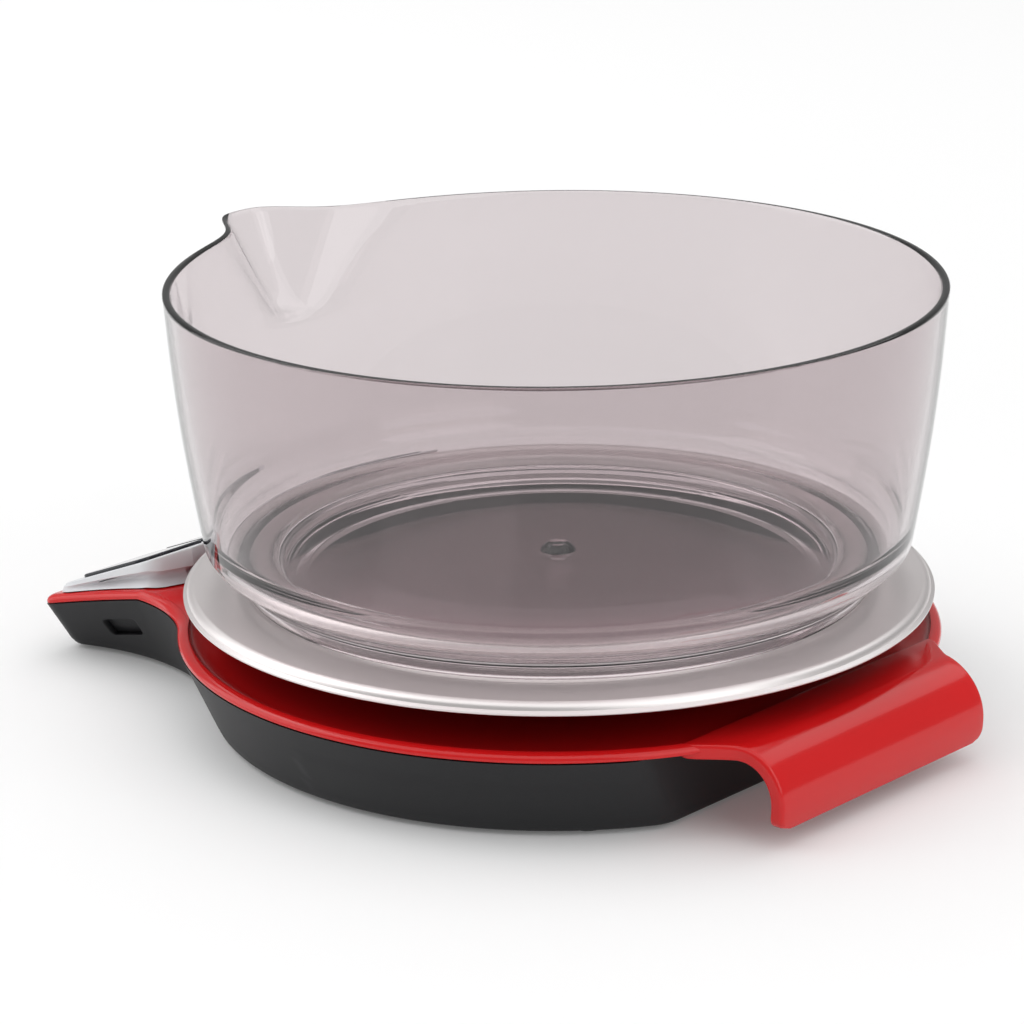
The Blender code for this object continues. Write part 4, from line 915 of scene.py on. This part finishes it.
def port_parts(patch):
    """The wall round the port, as rings from the patch's edge to the slot on a cubic fitted to the
    patch, x(y, z), and the slot's rounded mouth, sides and floor."""
    flat = patch.reshape(-1, 3)
    fit = np.linalg.lstsq(cubic_terms(flat[:, 1], flat[:, 2]), flat[:, 0], rcond=None)[0]
    edge = np.concatenate([patch[0, :-1], patch[:-1, -1], patch[-1, :0:-1], patch[:0:-1, 0]])
    centre = np.array([-PORT_REACH, PORT_HEIGHT])
    slot_y, slot_z = slot_towards(edge[:, 1:], centre)
    rows = [edge]
    for share in np.linspace(0.0, 1.0, 12)[1:]:
        y = edge[:, 1] + (slot_y - edge[:, 1]) * share
        z = edge[:, 2] + (slot_z - edge[:, 2]) * share
        rows.append(np.column_stack([cubic_terms(y, z) @ fit, y, z]))
    mouth_x = rows[-1][:, 0]
    for depth, size in ((0.12, 0.98), (0.3, 0.96), (WALL - 0.2, 0.96)):
        y = centre[0] + (slot_y - centre[0]) * size
        z = centre[1] + (slot_z - centre[1]) * size
        rows.append(np.column_stack([mouth_x - depth, y, z]))
    return [grid_part(np.array(rows), False, True), section_cap(rows[-1], rows[-1][:, 1:])]


def make_pan(pan_finish):
    """The base pan: outer wall with a rounded bottom edge, floor, inner wall, and the charging
    port's slot in the outer wall."""
    wall, inner = pan_walls()
    faces, patch = cut_for_port(wall)
    parts = [(wall.reshape(-1, 3), faces), *port_parts(patch)]
    parts.append(grid_part(np.array([wall[-1], inner[0]]), False, True))
    parts.append(grid_part(inner, False, True))
    parts += [cap_part(inner[-1]), cap_part(wall[0])]
    build("base_pan_skin", parts, pan_finish, "housing", "base_pan", SLOT_BLACK, sharp=50)


# Console


def display_height(y):
    """Height of the display plane."""
    return DISPLAY_FRONT + math.tan(TILT) * (CONSOLE_REACH + np.asarray(y))


def on_display(points, proud=0.0):
    """Carries (x, slope) points onto the display plane, lifted along its normal. The slope runs up
    the plane from the console's middle."""
    c, s = math.cos(TILT), math.sin(TILT)
    x, along = points[:, 0], points[:, 1]
    y = -CONSOLE_MIDDLE + along * c - proud * s
    z = display_height(-CONSOLE_MIDDLE) + along * s + proud * c
    return np.column_stack([x, y, z])


def along_slope(reach):
    """Way up the slope from the console's middle to a reach from the platform's axis."""
    return (CONSOLE_MIDDLE - reach) / math.cos(TILT)


def bezel_outline(inset):
    """The bezel's outline seen from above, moved inwards: an arc round the platform, a horn at
    each side, rounded rear corners, and the console's edge."""
    arc_radius = BEZEL_ARC + inset
    horn = math.degrees(math.acos(BEZEL_HORN / BEZEL_ARC))
    rear = arc((0.0, 0.0), arc_radius, -90, -horn, 28)
    side_x = WAIST_HALF - BEZEL_INSET
    radius = BEZEL_CORNER - inset
    corner = arc((side_x - BEZEL_CORNER, -BEZEL_REAR), radius, 72, 0, 14)
    edge = console_edge(
        side_x - inset,
        TIP_HALF - BEZEL_INSET - inset,
        CONSOLE_REACH - BEZEL_INSET - inset,
        BEZEL_REAR,
        BEZEL_TIP_CORNER - inset,
    )
    return mirrored(joined(rear, joined(run(rear[-1], corner[0], 4), corner), edge))


def lens_outline(grow):
    """The display window's outline on the slope, moved outwards."""
    low, high = along_slope(CONSOLE_REACH - 9.2) - grow, along_slope(BODY_RADIUS + 1.7) + grow
    return rounded_box((-DISPLAY_HALF - grow, DISPLAY_HALF + grow), (low, high), 2.0 + grow)


def key_outline(sign, grow):
    """A key's outline on the slope, moved outwards; its outer edge leans with the console's flare,
    by a product of the shares down and across."""
    low, high = along_slope(CONSOLE_REACH - 8.7) - grow, along_slope(BODY_RADIUS + 1.7) + grow
    inner, outer = KEY_INNER - grow, KEY_OUTER + grow
    box = rounded_box((inner, outer), (low, high), 3.0 + grow)
    lean = KEY_LEAN * (high - box[:, 1]) / (high - low) * (box[:, 0] - inner) / (outer - inner)
    return (box + np.column_stack([lean, np.zeros(len(box))])) * (sign, 1.0)


def bezel_walls():
    """Rings up the bezel's sides: a hollow cove, inwards by sin(pi s^1.3) of the way s up to the
    crease, a facet above it, and a small round on the top edge."""
    foot = bezel_outline(0.0)
    foot_z = band_top(foot[:, 1]) + GAP
    top_z = display_height(bezel_outline(1.3)[:, 1])
    crease_z = np.minimum(CREASE, foot_z + (top_z - foot_z) * 0.62)
    on_sides = smooth((foot[:, 1] + 124.0) / 18.0)[:, None]
    towards = (bezel_outline(BEZEL_HOLLOW) - foot) * on_sides
    rows = []
    for share in np.linspace(0.0, 1.0, 12)[:-1]:
        ring = bezel_outline(BEZEL_CREASE_INSET * share)
        ring = ring + towards * math.sin(math.pi * share**1.3)
        rows.append(at_height(ring, foot_z + (crease_z - foot_z) * share))
    rows.append(at_height(bezel_outline(BEZEL_CREASE_INSET), crease_z))
    edge_z = display_height(bezel_outline(1.0)[:, 1]) - 0.45
    for share in np.linspace(0.25, 1.0, 4):
        ring = bezel_outline(BEZEL_CREASE_INSET + 0.4 * share)
        rows.append(at_height(ring, crease_z + (edge_z - crease_z) * share))
    for inset, fall in ((0.98, 0.22), (1.12, 0.07), (1.3, 0.0), (1.4, 0.0)):
        ring = bezel_outline(inset)
        rows.append(at_height(ring, display_height(ring[:, 1]) - fall))
    return np.array(rows)


def make_bezel(bezel_finish):
    """The silver wedge: its sides and the tilted face, less three pockets for the windows."""
    walls = bezel_walls()
    sides = [grid_part(walls, False, True), cap_part(walls[0]), cap_part(walls[-1])]
    pockets = []
    for outline in (lens_outline(GAP), key_outline(1, GAP), key_outline(-1, GAP)):
        low, high = on_display(outline, -POCKET_DEPTH), on_display(outline, PROUD)
        pockets.append(closed_mesh("pocket", prism_parts(low, high)))
    mesh = carved(closed_mesh("wedge", sides), pockets)
    place = ("housing", "console_bezel", SLOT_SILVER)
    place_piece("console_bezel_skin", mesh, bezel_finish, *place, sharp=30)


def slab_parts(outline_at, bottom, top, edge):
    """Parts of a flat piece on the display plane: side, rounded top edge, and flat top and bottom.
    outline_at gives its outline for a growth."""
    rows = [on_display(outline_at(0.0), bottom)]
    for a in np.radians(np.linspace(0.0, 90.0, 6)):
        grow = -edge * (1 - math.cos(a))
        rows.append(on_display(outline_at(grow), top - edge * (1 - math.sin(a))))
    rows.append(on_display(outline_at(-edge - 0.15), top))
    points = np.array(rows)
    return [grid_part(points, False, True), cap_part(points[0]), cap_part(points[-1])]


def make_display_pieces():
    """The display window on the housing, and a key on each key's own body."""
    lens = slab_parts(lens_outline, -0.8, PROUD, 0.45)
    build("display_lens_skin", lens, display_window(), "housing", "display_lens", SLOT_DARK)
    dark = dark_window()
    for name, sign in (("key_right", 1), ("key_left", -1)):
        parts = slab_parts(lambda grow: key_outline(sign, grow), -1.3, PROUD, 0.5)
        build(name + "_skin", parts, dark, name, name, SLOT_DARK)


# Platform and bowl


def turned(profile, angles):
    """A profile of (radius, height) carried round the axis."""
    a = np.radians(angles)
    radius, height = profile[:, 0][:, None], profile[:, 1][:, None]
    x, y = radius * np.cos(a), radius * np.sin(a)
    return np.stack([x, y, np.broadcast_to(height, x.shape)], axis=-1)


def make_plate(steel):
    """The pressed platform: a flat top that rolls over into a leaning skirt, with a hemmed edge."""
    bend, half_sheet = 2.2, PLATE_SHEET / 2
    centre = (PLATE_RADIUS - 1.0 - bend, PLATE_TOP - bend)
    hem_centre = (PLATE_RADIUS - half_sheet - 0.2, SKIRT_BOTTOM + half_sheet)
    flat, under = PLATE_RADIUS - 3.6, PLATE_TOP - PLATE_SHEET
    profile = np.concatenate(
        [
            run((0.0, PLATE_TOP), (flat, PLATE_TOP), 10),
            arc(centre, bend, 90, 12, 14),
            arc(hem_centre, half_sheet + 0.1, 20, -180, 10),
            arc(centre, bend - PLATE_SHEET, 12, 90, 8),
            run((flat, under), (0.0, under), 8),
        ]
    )
    parts = [grid_part(turned(profile, np.arange(0.0, 360.0, 1.0)), False, True)]
    build("platform_plate_skin", parts, steel, "platform", "platform_plate", SLOT_STEEL)


def bowl_walls():
    """(radius, height) up the bowl's bulged outer wall and down its inner wall, with the rings
    above the spout's foot closer together."""
    height = RIM - BOWL_CORNER
    foot_share = (height - SPOUT_DEPTH) / height
    below_foot = np.linspace(0.0, foot_share, 12)[:-1]
    above_foot = foot_share + (1 - foot_share) * np.linspace(0.0, 1.0, 49) ** 1.5
    shares = np.concatenate([below_foot, above_foot])
    radius = CORNER_RADIUS + (RIM_RADIUS - CORNER_RADIUS) * shares + np.sin(np.pi * shares)
    outer = np.column_stack([radius, BOWL_CORNER + height * shares])
    inner = outer[::-1].copy()
    inner[:, 0] -= BOWL_WALL + (RIM_WALL - BOWL_WALL) * shares[::-1]
    inner[-1, 1] += 2.6
    outer[-1] = (RIM_RADIUS, RIM - 0.4)
    inner[0] = (RIM_RADIUS - RIM_WALL, RIM - 0.4)
    return outer, inner


def bowl_profile():
    """(radius, height) round the bowl's section: underside from the centre outwards, foot ring,
    rounded corner, outer wall, flat rim with softened edges, inner wall, and the floor with its
    ring step and the dimpled pip in the middle."""
    underside = FLOOR - BOWL_WALL
    below = [
        (0.0, underside),
        (30.0, underside),
        (FLOOR_RING - 0.6, underside),
        (FLOOR_RING - 0.1, underside - 0.2),
        (FLOOR_RING + 0.3, underside - 0.8),
        (FLOOR_RING + 0.5, FOOT + 0.4),
        (FLOOR_RING + 1.0, FOOT),
        (FOOT_RADIUS - 0.5, FOOT),
        (FOOT_RADIUS, FOOT + 0.5),
        (FOOT_RADIUS + 0.2, FOOT + 2.6),
        (FOOT_RADIUS + 0.9, FOOT + 4.4),
        (FOOT_RADIUS + 2.4, FOOT + 5.6),
    ]
    corner = arc((CORNER_RADIUS - 5.0, BOWL_CORNER + 0.4), 5.0, 292, 352, 12)
    inner_corner = arc((CORNER_RADIUS - BOWL_WALL - 8.0, FLOOR + 10.3), 8.0, 350, 270, 20)
    step = [
        (FLOOR_RING + 4.0, FLOOR + 2.25),
        (FLOOR_RING + 1.7, FLOOR + 2.2),
        (FLOOR_RING + 1.1, FLOOR + 2.0),
        (FLOOR_RING + 0.6, FLOOR + 1.2),
        (FLOOR_RING, FLOOR + 0.15),
        (FLOOR_RING - 0.8, FLOOR),
        (45.0, FLOOR),
        (20.0, FLOOR),
        (PIP_RADIUS, FLOOR),
    ]
    pip = arc((0.0, FLOOR - PIP_RADIUS / 2), PIP_RADIUS, 30, 64, 8)
    dimple = [(2.1, FLOOR + 1.9), (1.7, FLOOR + 1.2), (1.0, FLOOR + 0.9), (0.0, FLOOR + 0.8)]
    rim = [(RIM_RADIUS - 0.35, RIM), (RIM_RADIUS - RIM_WALL + 0.35, RIM)]
    outer, inner = bowl_walls()
    return np.concatenate([below, corner, outer, rim, inner, inner_corner, step, pip, dimple])


def make_bowl(clear):
    """The bowl: its profile carried round, with the spout drawn out towards -Y. The spout's depth
    is a bell round the ring, 1 / (1 + |angle / half angle|^3.2), times the share of the way up from
    its foot to the power 0.7, eased in at the foot. Its half angle widens evenly from the foot to
    the rim. The part of the ring that holds it is sampled more finely."""
    fine = np.linspace(-20.0, 20.0, 181)
    coarse = np.linspace(fine[-1], 360.0 + fine[0], 241)[1:-1]
    off = np.concatenate([fine, coarse])
    profile = bowl_profile()
    points = turned(profile, off - 90.0)
    up = np.clip((profile[:, 1] - (RIM - SPOUT_DEPTH)) / SPOUT_DEPTH, 0.0, 1.0)
    half = SPOUT_FOOT_ANGLE * (1 - up) + SPOUT_HALF_ANGLE * up
    from_middle = np.abs((off + 180.0) % 360.0 - 180.0)
    across = 1 / (1 + (from_middle[None, :] / half[:, None]) ** 3.2)
    push = SPOUT_REACH * (smooth(up / SPOUT_EASE) * up**0.7)[:, None] * across
    a = np.radians(off - 90.0)
    points[..., 0] += push * np.cos(a)
    points[..., 1] += push * np.sin(a)
    parts = [grid_part(points, False, True)]
    build("bowl_skin", parts, clear, "bowl", "bowl", SLOT_CLEAR, sharp=50)


# Stage


def make_stage():
    """A pale floor with no edge in view, a little brighter far out, where the lamps don't reach."""
    half = 9.0
    mesh = bpy.data.meshes.new("floor")
    corners = [(-half, -half, 0.0), (half, -half, 0.0), (half, half, 0.0), (-half, half, 0.0)]
    mesh.from_pydata(corners, [], [(0, 1, 2, 3)])
    pale = finish("floor", (0.80, 0.80, 0.80), 0.9, drift=0.0)
    tree = pale.node_tree
    glow = tree.nodes["Principled BSDF"]
    place = node(tree, "ShaderNodeTexCoord")
    away = node(tree, "ShaderNodeVectorMath", operation="LENGTH")
    rise = node(tree, "ShaderNodeMapRange")
    rise.inputs["From Min"].default_value = 0.3
    rise.inputs["From Max"].default_value = 1.6
    rise.inputs["To Min"].default_value = 0.09
    rise.inputs["To Max"].default_value = 0.26
    tree.links.new(place.outputs["Object"], away.inputs[0])
    tree.links.new(away.outputs["Value"], rise.inputs["Value"])
    tree.links.new(rise.outputs["Result"], glow.inputs["Emission Color"])
    glow.inputs["Emission Strength"].default_value = 1.0
    mesh.materials.append(pale)
    floor = bpy.data.objects.new("floor", mesh)
    bpy.context.scene.collection.objects.link(floor)


def softbox(name, place, target, size, power):
    """A square soft lamp at a place in metres, facing a target."""
    lamp = bpy.data.lights.new(name, "AREA")
    lamp.shape = "SQUARE"
    lamp.size = size
    lamp.energy = power
    obj = bpy.data.objects.new(name, lamp)
    obj.location = place
    obj.rotation_euler = (Vector(target) - Vector(place)).to_track_quat("-Z", "Y").to_euler()
    bpy.context.scene.collection.objects.link(obj)


def make_lights():
    """An overhead softbox, one at each side of the view, and a dim even surround."""
    world = bpy.data.worlds.new("surround")
    world.use_nodes = True
    surround = world.node_tree.nodes["Background"]
    surround.inputs["Color"].default_value = (1.0, 1.0, 1.0, 1.0)
    surround.inputs["Strength"].default_value = 0.36
    bpy.context.scene.world = world
    target = (0.0, 0.0, 0.04)
    softbox("overhead", (-0.15, -0.1, 1.5), target, 3.0, 29.0)
    softbox("left_side", (0.75, -1.15, 0.75), target, 1.5, 10.0)
    softbox("right_side", (0.1, 1.35, 0.7), target, 1.2, 6.0)


def make_camera():
    """A long lens from the handle's side, looking down at the platform."""
    azimuth, pitch, roll = math.radians(133.0), math.radians(18.017), math.radians(-0.783)
    level_forward = Vector((-math.sin(azimuth), math.cos(azimuth), 0.0))
    forward = level_forward * math.cos(pitch) - Vector((0.0, 0.0, math.sin(pitch)))
    right = Vector((math.cos(azimuth), math.sin(azimuth), 0.0))
    up = right.cross(forward)
    turned_right = right * math.cos(roll) + up * math.sin(roll)
    turned_up = up * math.cos(roll) - right * math.sin(roll)
    camera = bpy.data.cameras.new("camera")
    camera.lens = 132.2
    camera.sensor_width = 36.0
    camera.clip_end = 50.0
    obj = bpy.data.objects.new("camera", camera)
    axes = Matrix((turned_right, turned_up, -forward)).transposed().to_4x4()
    place = (0.66719, AXIS_Y * MM + 0.60639, 0.34480)
    obj.matrix_world = Matrix.Translation(place) @ axes
    bpy.context.scene.collection.objects.link(obj)
    bpy.context.scene.camera = obj


# Material slots that the record names
SLOT_RED = "red_gloss_plastic"
SLOT_BLACK = "black_matte_plastic"
SLOT_SILVER = "grey_satin_plastic"
SLOT_DARK = "dark_gloss_plastic"
SLOT_STEEL = "brushed_steel"
SLOT_CLEAR = "smoke_clear_plastic"


def dress_cad_nodes(finishes):
    """Gives every carried-over CAD node the finish of its record slot."""
    slots = {part["node"]: part["material_slot"] for part in frame["record"]["subparts"]}
    for name, obj in frame["nodes"].items():
        made = finishes[slots[name]]
        if not obj.material_slots:
            obj.data.materials.append(made)
        for place in obj.material_slots:
            place.material = made


def main():
    bpy.context.scene.view_settings.view_transform = "Standard"
    make_camera()
    make_lights()
    make_stage()
    finishes = {
        SLOT_RED: red_gloss(),
        SLOT_BLACK: black_pan(),
        SLOT_SILVER: silver_paint(),
        SLOT_DARK: dark_window(),
        SLOT_STEEL: brushed_steel(),
        SLOT_CLEAR: smoke_clear(),
        "white_plastic": finish("white_moulding", (0.78, 0.78, 0.76), 0.45, bump=4e-6),
        "rubber": finish("rubber", (0.02, 0.02, 0.02), 0.8, grain=1800.0, bump=1.5e-5),
        "aluminium": finish("milled_aluminium", (0.75, 0.76, 0.77), 0.35, 1.0, bump=3e-6),
        "zinc_steel": finish("zinc_plate", (0.60, 0.61, 0.63), 0.28, 1.0, drift=0.12, bump=2e-6),
        "circuit_board": finish(
            "solder_mask", (0.02, 0.16, 0.07), 0.4, drift=0.15, scale=300.0, bump=4e-6
        ),
        "lcd_glass": finish("display_glass", (0.30, 0.36, 0.30), 0.1, drift=0.02),
        "battery_foil": finish("battery_foil", (0.55, 0.57, 0.60), 0.35, 1.0, drift=0.1, bump=1e-5),
        "wire_jacket": finish("wire_jacket", (0.10, 0.10, 0.11), 0.55, bump=4e-6),
    }
    dress_cad_nodes(finishes)
    make_band(finishes[SLOT_RED])
    make_tray(finishes[SLOT_RED])
    make_deck(finishes[SLOT_RED])
    make_handle(finishes[SLOT_RED])
    make_pan(finishes[SLOT_BLACK])
    make_bezel(finishes[SLOT_SILVER])
    make_display_pieces()
    make_plate(finishes[SLOT_STEEL])
    make_bowl(finishes[SLOT_CLEAR])


main()
